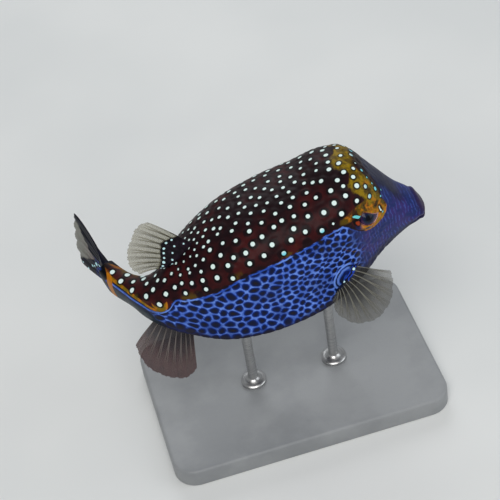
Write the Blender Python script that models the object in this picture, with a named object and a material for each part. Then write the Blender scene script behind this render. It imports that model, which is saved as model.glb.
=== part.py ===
"""Spotted boxfish, a life-size display model on a plain stand.

The fish is worked out in millimetres in its own frame: the tip of the snout is
the origin, the body lies at negative x, y is to its left and z is up. Along the
body a place is a distance s behind the snout on the bent spine, and a turn t
round the closed section: 0 is the middle of the belly, 2.5 the right lower
ridge, 5 the right upper ridge, 7 the middle of the back, and 14 the belly again.
`placed` pitches the finished fish nose up and lifts it over the base, in metres.
"""
import bmesh
import bpy
import math
import numpy as np
from dataclasses import dataclass

# General sizes, in millimetres and degrees
MM = 0.001
GAP = 0.3
PITCH = 7.0
PIVOT = np.array([-60.0, 0.0, 24.0])
PIVOT_HEIGHT = 76.0

# Lengths along the body
SNOUT_END = 1.6
HEAD_END = 31.0
SHELL_END = 109.0
TAIL_END = 131.0

# Spine: straight to BEND_START, then turning to the fish's left
BEND_START, BEND_MID, BEND_END = 99.0, 113.0, 138.0
BEND_MID_TURN, BEND_END_TURN, SPINE_END_TURN = 50.0, 77.0, 66.0
SPINE_LENGTH, SPINE_STEP = 180.0, 0.05
BEND_SOFTENING = 61

# Section sizes at stations along the body: half widths (w) and heights (z)
# of the belly, lower ridge, flank, upper ridge, shoulder and top
STATIONS = [0.0, 1.0, 3.5, 8.0, 14.0, 22.0, 30.0, 42.0, 58.0, 74.0, 88.0, 98.0, 106.0, 114.0, 132.0]
BELLY_Z = [17.2, 15.0, 14.2, 13.4, 12.0, 9.2, 5.4, 1.6, 0.2, 0.8, 3.2, 6.6, 10.2, 12.4, 12.8]
LOWER_W = [0.0, 3.0, 4.2, 5.4, 7.4, 10.4, 14.0, 17.8, 20.4, 20.2, 17.6, 12.8, 7.0, 3.6, 2.6]
LOWER_Z = [17.2, 15.6, 14.8, 14.2, 13.2, 11.0, 7.2, 3.2, 2.0, 2.6, 4.8, 8.0, 11.6, 13.4, 13.6]
FLANK_W = [0.0, 4.0, 5.8, 7.6, 10.4, 13.8, 16.8, 19.2, 20.6, 20.2, 17.4, 13.2, 8.6, 5.2, 3.4]
FLANK_Z = [17.2, 18.2, 18.6, 19.4, 20.6, 21.6, 21.4, 20.4, 19.8, 19.6, 19.6, 19.4, 19.0, 18.9, 19.4]
UPPER_W = [0.0, 4.2, 6.4, 8.4, 11.8, 16.8, 20.8, 23.2, 23.8, 22.6, 18.4, 13.4, 8.4, 5.4, 3.6]
UPPER_Z = [17.2, 20.8, 23.0, 25.8, 30.4, 36.0, 38.6, 38.4, 36.6, 34.0, 30.8, 28.0, 25.6, 24.4, 25.4]
SHOULDER_W = [0.0, 3.0, 4.6, 6.2, 9.2, 13.8, 16.4, 17.4, 17.8, 16.2, 12.8, 9.0, 5.8, 3.8, 2.6]
SHOULDER_Z = [17.2, 21.8, 24.8, 29.8, 39.0, 50.2, 51.0, 48.5, 47.0, 44.0, 38.4, 33.2, 28.6, 26.4, 27.0]
TOP_Z = [17.2, 22.2, 25.4, 30.6, 40.6, 53.4, 54.6, 52.0, 50.2, 47.2, 41.2, 35.0, 29.6, 27.0, 27.8]
BELLY_INNER = 0.55
RIDGE_TURNS = (0.0, 2.5, 5.0, 7.0)
TURNS = 14

# Hexagonal plates: columns from belly to lower ridge, up the flank and over the back
COLUMNS = (0, 3, 9, 13)
SIDES = 2 * COLUMNS[-1]
PLATES_START = 13.4
PLATES_END = 105.0
PLATE_RAISED = 0.36
PLATE_VARIES = 0.12
PLATE_INSET = 0.72
PLATE_SEED = 7

# Plain edges: before and after the plates, and the shell's slightly raised rim round the stem
PLATE_EDGE = 1.5
RIM_PROUD = 0.3
RIM_WIDTH = 2.0
SNOUT_RINGS = (SNOUT_END, 2.8, 5.0, 8.0, 10.8)
STEM_RINGS = (SHELL_END + GAP / 2, 112.0, 115.2, 118.4, 121.6, 124.8, 128.0, TAIL_END)

# Eyes and lids
EYE_S, EYE_T = 24.4, 4.95
EYE_AXIS = np.array([0.2, -0.97, 0.14])
EYE_RADIUS = 5.6
EYE_PROUD = 1.3
LID_RADIUS, LID_THICK, BROW_THICK = 4.9, 1.15, 0.45
LID_INSET = 0.5
LID_CLEAR = 2.0

# Mouth, nostrils and gill slit
LIP_ARC = 1.25
LIP_BACK, LIP_FRONT, LIP_SIDE = -3.3, 2.7, 3.9
LIP_TAPER = 0.35
LIP_UPPER_Z, LIP_UPPER_DROP, LIP_UPPER_R = 18.5, 0.9, 1.45
LIP_LOWER_Z, LIP_LOWER_DROP, LIP_LOWER_R = 15.9, -0.5, 1.35
MOUTH_CENTRE = (-1.0, 0.0, 17.2)
MOUTH_HALF = (3.4, 4.0, 0.38)
NOSTRILS = ((18.2, 5.25, 0.6), (16.2, 5.3, 0.5))
NOSTRIL_PROUD = 0.2
GILL_TOP, GILL_FOOT = (33.6, 21.0), (37.6, 8.6)
GILL_RADIUS = 0.5
GILL_PROUD = 0.15

# Fins in general: how deep a root is sunk, half thickness of the web, ridges of the rays
SINK = 2.6
WEB_HALF = 0.27
RAY_HALF = 0.4
RAY_FADE = 0.5
RAY_FRINGE = 0.25
FIN_STEPS = 7
BOW_SCALE = 6.75
FLESH_ROUND = 0.96
MIDDLE_BOW = (0.0, 0.0, -0.5)

# Pectoral fins: a slanting root, and rays that fan out from an apex in the flank
PECTORAL_RAYS = 10
PECTORAL_TOP = (36.2, 18.0)
PECTORAL_FOOT = (41.0, 9.0)
PECTORAL_SINK = 1.6
PECTORAL_APEX = np.array([-38.5, -19.3, 11.5])
PECTORAL_FORWARD = np.array([0.968, -0.176, 0.178])
PECTORAL_DOWN = np.array([0.0, -0.712, -0.702])
PECTORAL_SPREAD = (4.0, 151.0)
PECTORAL_REACH = ((0.0, 0.2, 0.45, 0.75, 1.0), (17.0, 17.4, 17.0, 13.4, 8.5))
PECTORAL_BOW = (0.0, 1.0, -0.6)
PECTORAL_HALF, PECTORAL_LOBE = 1.9, 7.0

# Caudal fin: a twisted fan beyond the stem, from its lowest ray to its highest
CAUDAL_RAYS = 10
CAUDAL_TWIST = 11.0
CAUDAL_LOW, CAUDAL_HIGH = 8.6, 34.0
CAUDAL_REACH = ((0.0, 0.25, 0.5, 0.8, 1.0), (26.5, 29.2, 29.0, 27.6, 25.8))
CAUDAL_INSET = 0.7
CAUDAL_BOW = (0.25, 0.25, 0.0)
CAUDAL_CUP = -1.0
CAUDAL_HALF, CAUDAL_LOBE, CAUDAL_ROUND = 2.3, 8.5, 0.72


@dataclass(frozen=True)
class MiddleFin:
    """Dorsal or anal fin, its rays counted from the front.

    root is the range of s of its foot and turn the side of the section that it
    grows from. tilt is the first ray's angle back from straight up, the change to
    the last ray and the power of that change. reach lists places across the fin
    and how far its rays stand out there. lean turns it to the fish's left, and its
    flesh is half_flesh thick to each side and ends at lobe.
    """
    name: str
    rays: int
    root: tuple
    turn: float
    tilt: tuple
    reach: tuple
    lean: float
    half_flesh: float
    lobe: float


DORSAL = MiddleFin(
    name="dorsal_fin", rays=9, root=(87.0, 98.6), turn=7.0, tilt=(38.0, 46.0, 1.35),
    reach=((0.0, 0.12, 0.35, 0.65, 0.88, 1.0), (19.0, 21.0, 20.2, 17.8, 13.5, 10.0)),
    lean=8.0, half_flesh=1.9, lobe=7.0)
ANAL = MiddleFin(
    name="anal_fin", rays=9, root=(96.5, 107.6), turn=0.0, tilt=(165.0, -43.0, 1.8),
    reach=((0.0, 0.15, 0.5, 0.8, 1.0), (20.8, 23.6, 24.4, 21.0, 15.5)),
    lean=30.0, half_flesh=1.9, lobe=8.0)

# Stand
BASE_SIZE = (112.0, 74.0, 8.0)
BASE_CORNER, BASE_EDGE = 9.0, 1.2
ROD_RADIUS, ROD_FOOT_RADIUS, ROD_PAD_RADIUS = 1.9, 5.0, 3.4
ROD_FRONT_S, ROD_REAR_S = 44.0, 78.0
ROD_FOOT_EDGE, ROD_FOOT_HEIGHT = 1.4, 2.6
ROD_PAD_START, ROD_PAD_EDGE, ROD_INTO_BELLY = 4.5, 2.4, 3.0
ROD_SIDES = 20


def hermite(x, xs, ys):
    """Smooth curve through the points (xs, ys), read at x."""
    xs = np.asarray(xs, float)
    ys = np.asarray(ys, float)
    step = np.diff(xs)
    slope = np.diff(ys) / step
    lean = np.empty_like(ys)
    lean[1:-1] = (slope[:-1] * step[1:] + slope[1:] * step[:-1]) / (step[1:] + step[:-1])
    lean[0] = slope[0]
    lean[-1] = slope[-1]
    i = np.clip(np.searchsorted(xs, x) - 1, 0, len(xs) - 2)
    f = (x - xs[i]) / step[i]
    start = (1 + 2 * f) * (1 - f) ** 2 * ys[i] + f * (1 - f) ** 2 * step[i] * lean[i]
    end = f * f * (3 - 2 * f) * ys[i + 1] + f * f * (f - 1) * step[i] * lean[i + 1]
    return start + end


def spine_tables():
    """Distances along the spine with its x, y and turn to the left."""
    s = np.linspace(0.0, SPINE_LENGTH, int(SPINE_LENGTH / SPINE_STEP) + 1)
    marks = [0.0, BEND_START, BEND_MID, BEND_END, SPINE_LENGTH]
    turns = [0.0, 0.0, BEND_MID_TURN, BEND_END_TURN, SPINE_END_TURN]
    turn = np.radians(np.interp(s, marks, turns))
    half = BEND_SOFTENING // 2
    turn = np.convolve(np.pad(turn, half, mode="edge"), np.ones(BEND_SOFTENING) / BEND_SOFTENING, "valid")
    x = -np.concatenate([[0.0], np.cumsum(np.cos(turn[:-1]) * SPINE_STEP)])
    y = np.concatenate([[0.0], np.cumsum(np.sin(turn[:-1]) * SPINE_STEP)])
    return s, x, y, turn


SPINE = spine_tables()


def spine(s):
    """Place and turn of the spine at s."""
    return tuple(np.interp(s, SPINE[0], table) for table in SPINE[1:])


def section(s, t):
    """Sideways (to the right) and height of the skin at s, t: a closed cubic B-spline."""
    s, t = np.broadcast_arrays(np.asarray(s, float), np.asarray(t, float))
    middle = np.zeros_like(s)
    lower = (hermite(s, STATIONS, LOWER_W), hermite(s, STATIONS, LOWER_Z))
    belly = hermite(s, STATIONS, BELLY_Z)
    half = [
        (middle, belly),
        (BELLY_INNER * lower[0], belly),
        lower,
        lower,
        (hermite(s, STATIONS, FLANK_W), hermite(s, STATIONS, FLANK_Z)),
        (hermite(s, STATIONS, UPPER_W), hermite(s, STATIONS, UPPER_Z)),
        (hermite(s, STATIONS, SHOULDER_W), hermite(s, STATIONS, SHOULDER_Z)),
        (middle, hermite(s, STATIONS, TOP_Z)),
    ]
    other = [(-w, z) for w, z in half[-2:0:-1]]
    control = np.array(half + other)
    i = np.floor(t).astype(int)
    f = t - i
    weights = (
        (1 - f) ** 3 / 6,
        (3 * f ** 3 - 6 * f ** 2 + 4) / 6,
        (-3 * f ** 3 + 3 * f ** 2 + 3 * f + 1) / 6,
        f ** 3 / 6,
    )
    out = np.zeros((2,) + s.shape)
    for k, weight in enumerate(weights):
        index = (i + k - 1) % TURNS
        for axis in range(2):
            out[axis] += weight * np.take_along_axis(control[:, axis], index[None], 0)[0]
    return out


def skin(s, t, proud=0.0):
    """Points of the skin at s, t, moved out along its normal by proud."""
    def at(s, t):
        x, y, turn = spine(s)
        side, z = section(s, t)
        return np.stack([x - np.sin(turn) * side, y - np.cos(turn) * side, z + 0.0 * x], -1)

    s, t = np.broadcast_arrays(np.asarray(s, float), np.asarray(t, float))
    points = at(s, t)
    if np.any(proud):
        h = 0.01
        along = at(s + h, t) - at(s - h, t)
        round_ = at(s, t + h) - at(s, t - h)
        normal = np.cross(round_, along)
        normal /= np.linalg.norm(normal, axis=-1, keepdims=True)
        points = points + normal * np.asarray(proud)[..., None]
    return points


def turn_at(s, columns):
    """Turn t at columns counted round one section, even by arc length between ridges."""
    columns = np.asarray(columns, float) % SIDES
    mirrored = columns > COLUMNS[-1]
    half = np.where(mirrored, SIDES - columns, columns)
    t = np.linspace(0.0, TURNS / 2, 281)
    run = np.diff(section(s, t), axis=1)
    length = np.concatenate([[0.0], np.cumsum(np.hypot(run[0], run[1]))])
    marks = np.interp(RIDGE_TURNS, t, length)
    turn = np.interp(np.interp(half, COLUMNS, marks), length, t)
    return np.where(mirrored, TURNS - turn, turn)


def placed(points):
    """Fish frame in millimetres to the stand's frame in metres."""
    p = np.asarray(points, float) - PIVOT
    a = math.radians(PITCH)
    x = p[..., 0] * math.cos(a) - p[..., 2] * math.sin(a)
    z = p[..., 0] * math.sin(a) + p[..., 2] * math.cos(a) + PIVOT_HEIGHT
    return np.stack([x, p[..., 1], z], -1) * MM


def material(name, color, roughness, metallic=0.0):
    """A plain Principled finish."""
    finish = bpy.data.materials.new(name)
    finish.use_nodes = True
    shader = finish.node_tree.nodes["Principled BSDF"]
    shader.inputs["Base Color"].default_value = (*color, 1.0)
    shader.inputs["Roughness"].default_value = roughness
    shader.inputs["Metallic"].default_value = metallic
    return finish


def signed_volume(points, faces):
    """Six times the volume that triangles or flat polygons enclose."""
    total = 0.0
    for face in faces:
        for k in range(1, len(face) - 1):
            a, b, c = points[face[0]], points[face[k]], points[face[k + 1]]
            total += float(np.dot(a, np.cross(b, c)))
    return total


def solid(name, points, faces, finish=None):
    """Mesh object from points in metres, its faces turned outwards."""
    centred = points - points.mean(0)
    if signed_volume(centred, faces) < 0:
        faces = [tuple(reversed(face)) for face in faces]
    mesh = bpy.data.meshes.new(name)
    mesh.from_pydata([tuple(p) for p in points], [], faces)
    mesh.validate()
    obj = bpy.data.objects.new(name, mesh)
    bpy.context.collection.objects.link(obj)
    if finish:
        mesh.materials.append(finish)
    return obj


def triangles(mesh):
    """Split a mesh's faces into triangles."""
    bm = bmesh.new()
    bm.from_mesh(mesh)
    bmesh.ops.triangulate(bm, faces=bm.faces[:])
    bm.to_mesh(mesh)
    bm.free()


def largest_only(mesh):
    """Keep only the largest closed surface of a mesh."""
    bm = bmesh.new()
    bm.from_mesh(mesh)
    left = set(bm.verts)
    groups = []
    while left:
        stack = [left.pop()]
        group = set(stack)
        while stack:
            for edge in stack.pop().link_edges:
                for vert in edge.verts:
                    if vert in left:
                        left.remove(vert)
                        group.add(vert)
                        stack.append(vert)
        groups.append(group)
    groups.sort(key=len)
    for group in groups[:-1]:
        bmesh.ops.delete(bm, geom=list(group), context="VERTS")
    bm.to_mesh(mesh)
    bm.free()


def combine(obj, pieces, operation):
    """Join pieces to an object, or cut them from it, and remove them."""
    group = bpy.data.collections.new("pieces")
    bpy.context.scene.collection.children.link(group)
    for piece in pieces:
        group.objects.link(piece)
    change = obj.modifiers.new("change", "BOOLEAN")
    change.operation = operation
    change.solver = "EXACT"
    change.operand_type = "COLLECTION"
    change.collection = group
    bpy.context.view_layer.update()
    mesh = bpy.data.meshes.new_from_object(obj.evaluated_get(bpy.context.evaluated_depsgraph_get()))
    obj.modifiers.clear()
    obj.data = mesh
    for piece in pieces:
        bpy.data.objects.remove(piece)
    bpy.data.collections.remove(group)
    triangles(mesh)
    largest_only(mesh)


def plate_rows(start, end):
    """Edges between rows of plates, as far apart as the plates there are long."""
    s = np.linspace(start, end, 200)
    t = np.linspace(0.0, TURNS, 113)
    edge = np.diff(section(s[:, None], t[None, :]), axis=2)
    pitch = np.hypot(edge[0], edge[1]).sum(1) / SIDES
    step = pitch * math.sqrt(3) / 2
    rows = np.concatenate([[0.0], np.cumsum(np.diff(s) / (0.5 * (step[1:] + step[:-1])))])
    count = round(rows[-1])
    return np.interp(np.linspace(0.0, rows[-1], count + 1), rows, s)


def near_eye(s, columns):
    """True where a plate lies under the ring of lids."""
    at = skin(np.full(len(columns), s), turn_at(s, columns))
    out = np.zeros(len(columns), bool)
    for side in (-1, 1):
        centre = eye_frame(side)[0]
        out |= np.linalg.norm(at - centre, axis=1) < EYE_RADIUS + LID_THICK + LID_CLEAR
    return out


def plated_solid(name, front, rows, back, proud=0.0, finish=None, back_proud=0.0):
    """Length of body with raised hexagonal plates, closed by flat ends.

    front and back are plain stations before and after the plates, and rows are the
    edges between the rows. A ring has two points to a plate. Between rows it runs
    in a zigzag, which gives each plate its six corners, and every second row is
    half a plate round from the last.
    """
    rng = np.random.default_rng(PLATE_SEED)
    half_columns = np.arange(2 * SIDES) / 2
    pieces = []
    faces = []

    def add(points):
        """Store points and return the index of the first."""
        start = sum(len(piece) for piece in pieces)
        pieces.append(points)
        return start

    def plain_ring(s, lift):
        return add(skin(np.full(2 * SIDES, s), turn_at(s, half_columns), np.full(2 * SIDES, lift)))

    def zigzag_ring(s, swing, parity):
        ahead = np.arange(2 * SIDES) % 2 == parity
        low = turn_at(s - swing, half_columns)
        high = turn_at(s + swing, half_columns)
        place = np.where(ahead, s - swing, s + swing)
        return add(skin(place, np.where(ahead, low, high), np.full(2 * SIDES, proud)))

    def band(a, b):
        for j in range(2 * SIDES):
            k = (j + 1) % (2 * SIDES)
            faces.append((a + j, a + k, b + k))
            faces.append((a + j, b + k, b + j))

    rings = [plain_ring(s, proud) for s in front]
    swings = np.gradient(rows) / 6
    zigzags = [zigzag_ring(s, swing, k % 2) for k, (s, swing) in enumerate(zip(rows, swings))]
    ends = [plain_ring(s, proud + back_proud) for s in back]
    for a, b in zip(rings, rings[1:] + zigzags[:1]):
        band(a, b)
    for a, b in zip([zigzags[-1]] + ends, ends):
        band(a, b)

    for k in range(len(rows) - 1):
        parity = k % 2
        columns = np.arange(SIDES) + parity / 2
        middle = (rows[k] + rows[k + 1]) / 2
        lift = PLATE_RAISED * (1 + PLATE_VARIES * rng.uniform(-1, 1, SIDES))
        lift = np.where(near_eye(middle, columns), 0.0, lift) + proud
        corners = (
            (rows[k] + swings[k], -0.5), (rows[k] - swings[k], 0.0), (rows[k] + swings[k], 0.5),
            (rows[k + 1] - swings[k + 1], 0.5), (rows[k + 1] + swings[k + 1], 0.0),
            (rows[k + 1] - swings[k + 1], -0.5),
        )
        inner = []
        for s, across in corners:
            place = middle + PLATE_INSET * (s - middle)
            turn = turn_at(place, columns + PLATE_INSET * across)
            inner.append(add(skin(np.full(SIDES, place), turn, lift)))
        for c in range(SIDES):
            j = 2 * c + parity
            left, right = (j - 1) % (2 * SIDES), (j + 1) % (2 * SIDES)
            j %= 2 * SIDES
            a, b = zigzags[k], zigzags[k + 1]
            outer = (a + left, a + j, a + right, b + right, b + j, b + left)
            top = [start + c for start in inner]
            for e in range(6):
                f = (e + 1) % 6
                faces.append((outer[e], outer[f], top[f]))
                faces.append((outer[e], top[f], top[e]))
            faces.append((top[0], top[1], top[4]))
            faces.append((top[0], top[4], top[5]))
            faces.append((top[1], top[2], top[3]))
            faces.append((top[1], top[3], top[4]))

    first, last = rings[0], ends[-1]
    points = np.concatenate(pieces)
    caps = [points[first:first + 2 * SIDES].mean(0), points[last:last + 2 * SIDES].mean(0)]
    total = len(points)
    for j in range(2 * SIDES):
        k = (j + 1) % (2 * SIDES)
        faces.append((total, first + k, first + j))
        faces.append((total + 1, last + j, last + k))
    return solid(name, placed(np.concatenate([points, caps])), faces, finish)


def stem_solid(name, stations, finish):
    """Tail stem: plain rings between two flat ends."""
    columns = np.arange(SIDES)
    rings = [skin(np.full(SIDES, s), turn_at(s, columns)) for s in stations]
    points = placed(np.concatenate(rings + [np.array([rings[0].mean(0), rings[-1].mean(0)])]))
    faces = []
    last = (len(rings) - 1) * SIDES
    for j in range(SIDES):
        k = (j + 1) % SIDES
        for a in range(0, last, SIDES):
            faces.append((a + j, a + k, a + SIDES + k))
            faces.append((a + j, a + SIDES + k, a + SIDES + j))
        faces.append((last + SIDES, k, j))
        faces.append((last + SIDES + 1, last + j, last + k))
    return solid(name, points, faces, finish)


def tube(name, path, radii, sides=10, closed=False):
    """Round bar along a path in millimetres, closed by end points or into a ring."""
    path = np.asarray(path, float)
    count = len(path)
    ahead = np.roll(path, -1, 0) - np.roll(path, 1, 0)
    if not closed:
        ahead[0] = path[1] - path[0]
        ahead[-1] = path[-1] - path[-2]
    ahead /= np.linalg.norm(ahead, axis=1, keepdims=True)
    guide = np.cross(ahead, path - path.mean(0))
    guide /= np.linalg.norm(guide, axis=1, keepdims=True)
    other = np.cross(ahead, guide)
    angle = np.arange(sides) * 2 * math.pi / sides
    ring = np.cos(angle)[None, :, None] * guide[:, None] + np.sin(angle)[None, :, None] * other[:, None]
    points = (path[:, None] + ring * np.asarray(radii, float)[:, None, None]).reshape(-1, 3)
    faces = []
    for r in range(count if closed else count - 1):
        a = r * sides
        b = (r + 1) % count * sides
        for j in range(sides):
            k = (j + 1) % sides
            faces.append((a + j, a + k, b + k))
            faces.append((a + j, b + k, b + j))
    if not closed:
        points = np.concatenate([points, path[:1], path[-1:]])
        last = (count - 1) * sides
        for j in range(sides):
            k = (j + 1) % sides
            faces.append((count * sides, k, j))
            faces.append((count * sides + 1, last + j, last + k))
    return solid(name, placed(points), faces)


def ball(name, centre, radius, across=18, down=10, finish=None):
    """Sphere about a point of the fish frame."""
    mesh = bpy.data.meshes.new(name)
    bm = bmesh.new()
    bmesh.ops.create_uvsphere(bm, u_segments=across, v_segments=down, radius=radius * MM)
    bmesh.ops.translate(bm, verts=bm.verts[:], vec=tuple(placed(centre)))
    bm.to_mesh(mesh)
    bm.free()
    triangles(mesh)
    obj = bpy.data.objects.new(name, mesh)
    bpy.context.collection.objects.link(obj)
    if finish:
        mesh.materials.append(finish)
    return obj


def fin_solid(name, root, tip, bow, half, finish):
    """Fin between a root curve and a tip curve, with a half thickness at each place.

    root and tip are points for each column, bow is how far a ray curves aside two
    thirds of the way out, and half has one row for each step from root to tip.
    """
    rows, columns = half.shape
    u = np.linspace(0.0, 1.0, rows)[:, None, None]
    web = root[None] * (1 - u) + tip[None] * u + bow[None] * u * u * (u - 1) * BOW_SCALE
    across = np.gradient(web, axis=1)
    outward = np.gradient(web, axis=0)
    normal = np.cross(across, outward)
    normal /= np.linalg.norm(normal, axis=-1, keepdims=True)
    near = (web + normal * half[..., None]).reshape(-1, 3)
    far = (web - normal * half[..., None]).reshape(-1, 3)
    back = rows * columns
    faces = []
    for r in range(rows - 1):
        for c in range(columns - 1):
            a = r * columns + c
            b = a + columns
            faces.append((a, a + 1, b + 1))
            faces.append((a, b + 1, b))
            faces.append((back + b + 1, back + a + 1, back + a))
            faces.append((back + b, back + b + 1, back + a))
    edge = [c for c in range(columns)]
    edge += [r * columns + columns - 1 for r in range(1, rows)]
    edge += [(rows - 1) * columns + c for c in range(columns - 2, -1, -1)]
    edge += [r * columns for r in range(rows - 2, 0, -1)]
    for a, b in zip(edge, edge[1:] + edge[:1]):
        faces.append((b, a, back + a))
        faces.append((b, back + a, back + b))
    return solid(name, placed(np.concatenate([near, far])), faces, finish)


def fin_columns(rays):
    """Places across a fin: one on each ray and one between, with True on the rays."""
    count = 2 * rays - 1
    return np.linspace(0.0, 1.0, count), np.arange(count) % 2 == 0


def thickness(on_ray, reach, root_half, lobe, rounded=FLESH_ROUND):
    """Half thickness of a fin: a fleshy root, then the web with a ridge on each ray."""
    u = np.linspace(0.0, 1.0, FIN_STEPS)[:, None]
    c = np.linspace(-1.0, 1.0, len(on_ray))[None, :]
    flesh = np.clip(1.0 - u * reach[None, :] / lobe, 0.0, 1.0)
    flesh = flesh * flesh * (3 - 2 * flesh)
    ridge = RAY_HALF * on_ray[None, :] * (1 - flesh) * (1 - RAY_FADE * u)
    return WEB_HALF + (root_half - WEB_HALF) * flesh * np.sqrt(1 - rounded * c * c) + ridge


def direction(back, lean):
    """Unit vectors turned from straight up towards the tail by back, and leaned to the left."""
    back = np.radians(back)
    lean = math.radians(lean)
    up = np.cos(back)
    return np.stack([-np.sin(back), up * math.sin(lean), up * math.cos(lean)], -1)


def middle_fin(fin, body, finish):
    """Dorsal or anal fin on the middle line, its root cut to the shell with the gap."""
    c, on_ray = fin_columns(fin.rays)
    s = fin.root[0] + (fin.root[1] - fin.root[0]) * c
    ray = direction(fin.tilt[0] + fin.tilt[1] * c ** fin.tilt[2], fin.lean)
    root = skin(s, np.full(len(c), fin.turn)) - ray * SINK
    length = hermite(c, *fin.reach) + SINK + RAY_FRINGE * on_ray
    tip = root + ray * length[:, None]
    bow = np.tile(MIDDLE_BOW, (len(c), 1))
    half = thickness(on_ray, length, fin.half_flesh, fin.lobe + SINK)
    obj = fin_solid(fin.name, root, tip, bow, half, finish)
    combine(obj, [body()], "DIFFERENCE")


def pectoral_fin(name, side, body, finish):
    """Fan of rays from a slanting root on the flank; side is -1 on the right, 1 on the left."""
    c, on_ray = fin_columns(PECTORAL_RAYS)
    s = PECTORAL_TOP[0] + (PECTORAL_FOOT[0] - PECTORAL_TOP[0]) * c
    z = PECTORAL_TOP[1] + (PECTORAL_FOOT[1] - PECTORAL_TOP[1]) * c
    width = np.array([flank_width(a, b) for a, b in zip(s, z)])
    root = np.stack([-s, -width + PECTORAL_SINK, z], -1)
    spread = np.radians(PECTORAL_SPREAD[0] + (PECTORAL_SPREAD[1] - PECTORAL_SPREAD[0]) * c)
    reach = hermite(c, *PECTORAL_REACH) + RAY_FRINGE * on_ray
    fan = np.cos(spread)[:, None] * PECTORAL_FORWARD + np.sin(spread)[:, None] * PECTORAL_DOWN
    tip = PECTORAL_APEX + fan * reach[:, None]
    bow = np.tile(PECTORAL_BOW, (len(c), 1))
    half = thickness(on_ray, np.linalg.norm(tip - root, axis=1), PECTORAL_HALF, PECTORAL_LOBE)
    if side > 0:
        root, tip, bow = (v * np.array([1.0, -1.0, 1.0]) for v in (root, tip, bow))
    obj = fin_solid(name, root, tip, bow, half, finish)
    combine(obj, [body()], "DIFFERENCE")


def flank_width(s, z):
    """Half width of the flank at height z."""
    t = np.linspace(RIDGE_TURNS[1], RIDGE_TURNS[2], 80)
    side, height = section(s, t)
    return float(np.interp(z, height, side))


def caudal_fin(finish):
    """Tail fin: a twisted fan about the end of the spine, its root the section of the stem."""
    c, on_ray = fin_columns(CAUDAL_RAYS)
    start = TAIL_END + GAP
    low = hermite(start, STATIONS, BELLY_Z) + CAUDAL_INSET
    high = hermite(start, STATIONS, TOP_Z) - CAUDAL_INSET
    x, y, _ = spine(start)
    root = np.stack([np.full(len(c), x), np.full(len(c), y), low + (high - low) * c], -1)
    reach = hermite(c, *CAUDAL_REACH) + RAY_FRINGE * on_ray
    tip_x, tip_y, turn = spine(start + reach)
    height = CAUDAL_LOW + (CAUDAL_HIGH - CAUDAL_LOW) * c
    aside = (height - (CAUDAL_LOW + CAUDAL_HIGH) / 2) * math.tan(math.radians(CAUDAL_TWIST))
    tip = np.stack([tip_x + np.sin(turn) * aside, tip_y + np.cos(turn) * aside, height], -1)
    bow = np.tile(CAUDAL_BOW, (len(c), 1))
    bow[:, 0] += CAUDAL_CUP * c * c
    half = thickness(on_ray, reach, CAUDAL_HALF, CAUDAL_LOBE, CAUDAL_ROUND)
    fin_solid("caudal_fin", root, tip, bow, half, finish)


def eye_frame(side):
    """Centre of an eyeball and its outward axis."""
    mirror = np.array([1.0, -side, 1.0])
    axis = EYE_AXIS / np.linalg.norm(EYE_AXIS) * mirror
    turn = EYE_T if side < 0 else TURNS - EYE_T
    point = skin(np.array([EYE_S]), np.array([turn]))[0]
    return point - axis * (EYE_RADIUS - EYE_PROUD), axis


def lid_ring(side):
    """Fleshy ring that rims the eye."""
    centre, axis = eye_frame(side)
    depth = math.sqrt(EYE_RADIUS ** 2 - (LID_RADIUS - LID_INSET) ** 2)
    across = np.cross(axis, [0.0, 0.0, 1.0])
    across /= np.linalg.norm(across)
    up = np.cross(across, axis)
    angle = np.linspace(0.0, 2 * math.pi, 24, endpoint=False)
    ring = np.cos(angle)[:, None] * across + np.sin(angle)[:, None] * up
    path = centre + axis * depth + ring * LID_RADIUS
    thick = LID_THICK + BROW_THICK * np.clip(np.sin(angle), 0.0, 1.0)
    return tube("lid", path, thick, 8, closed=True)


def lip(height, drop, thick):
    """Fleshy roll round the front of the snout."""
    angle = np.linspace(-LIP_ARC, LIP_ARC, 13)
    path = np.stack([
        LIP_BACK + LIP_FRONT * np.cos(angle),
        LIP_SIDE * np.sin(angle),
        height - drop * np.sin(angle) ** 2,
    ], -1)
    return tube("lip", path, thick * (1 - LIP_TAPER * (angle / LIP_ARC) ** 2), 8)


def mouth_cutter():
    """Flat lens that cuts the line of the mouth between the lips."""
    lens = ball("mouth", (0.0, 0.0, 0.0), 1.0, 24, 8)
    origin = placed(np.zeros(3))
    co = np.array([v.co[:] for v in lens.data.vertices]) - origin
    co = placed(co / MM * np.array(MOUTH_HALF) + np.array(MOUTH_CENTRE))
    lens.data.vertices.foreach_set("co", co.ravel())
    return lens


def gill_cutter(side):
    """Bar that sinks the gill slit into the shell, in front of the pectoral fin."""
    f = np.linspace(0.0, 1.0, 9)
    s = GILL_TOP[0] + (GILL_FOOT[0] - GILL_TOP[0]) * f
    z = GILL_TOP[1] + (GILL_FOOT[1] - GILL_TOP[1]) * f
    width = np.array([flank_width(a, b) for a, b in zip(s, z)])
    path = np.stack([-s, side * (width + GILL_PROUD), z], -1)
    return tube("gill", path, GILL_RADIUS * (1 - 0.5 * (2 * f - 1) ** 2), 6)


def nostril_cutters():
    """Small balls that sink two nostrils before each eye."""
    cutters = []
    for s, t, radius in NOSTRILS:
        for turn in (t, TURNS - t):
            centre = skin(np.array([s]), np.array([turn]), np.array([NOSTRIL_PROUD]))[0]
            cutters.append(ball("nostril", centre, radius, 8, 6))
    return cutters


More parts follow.
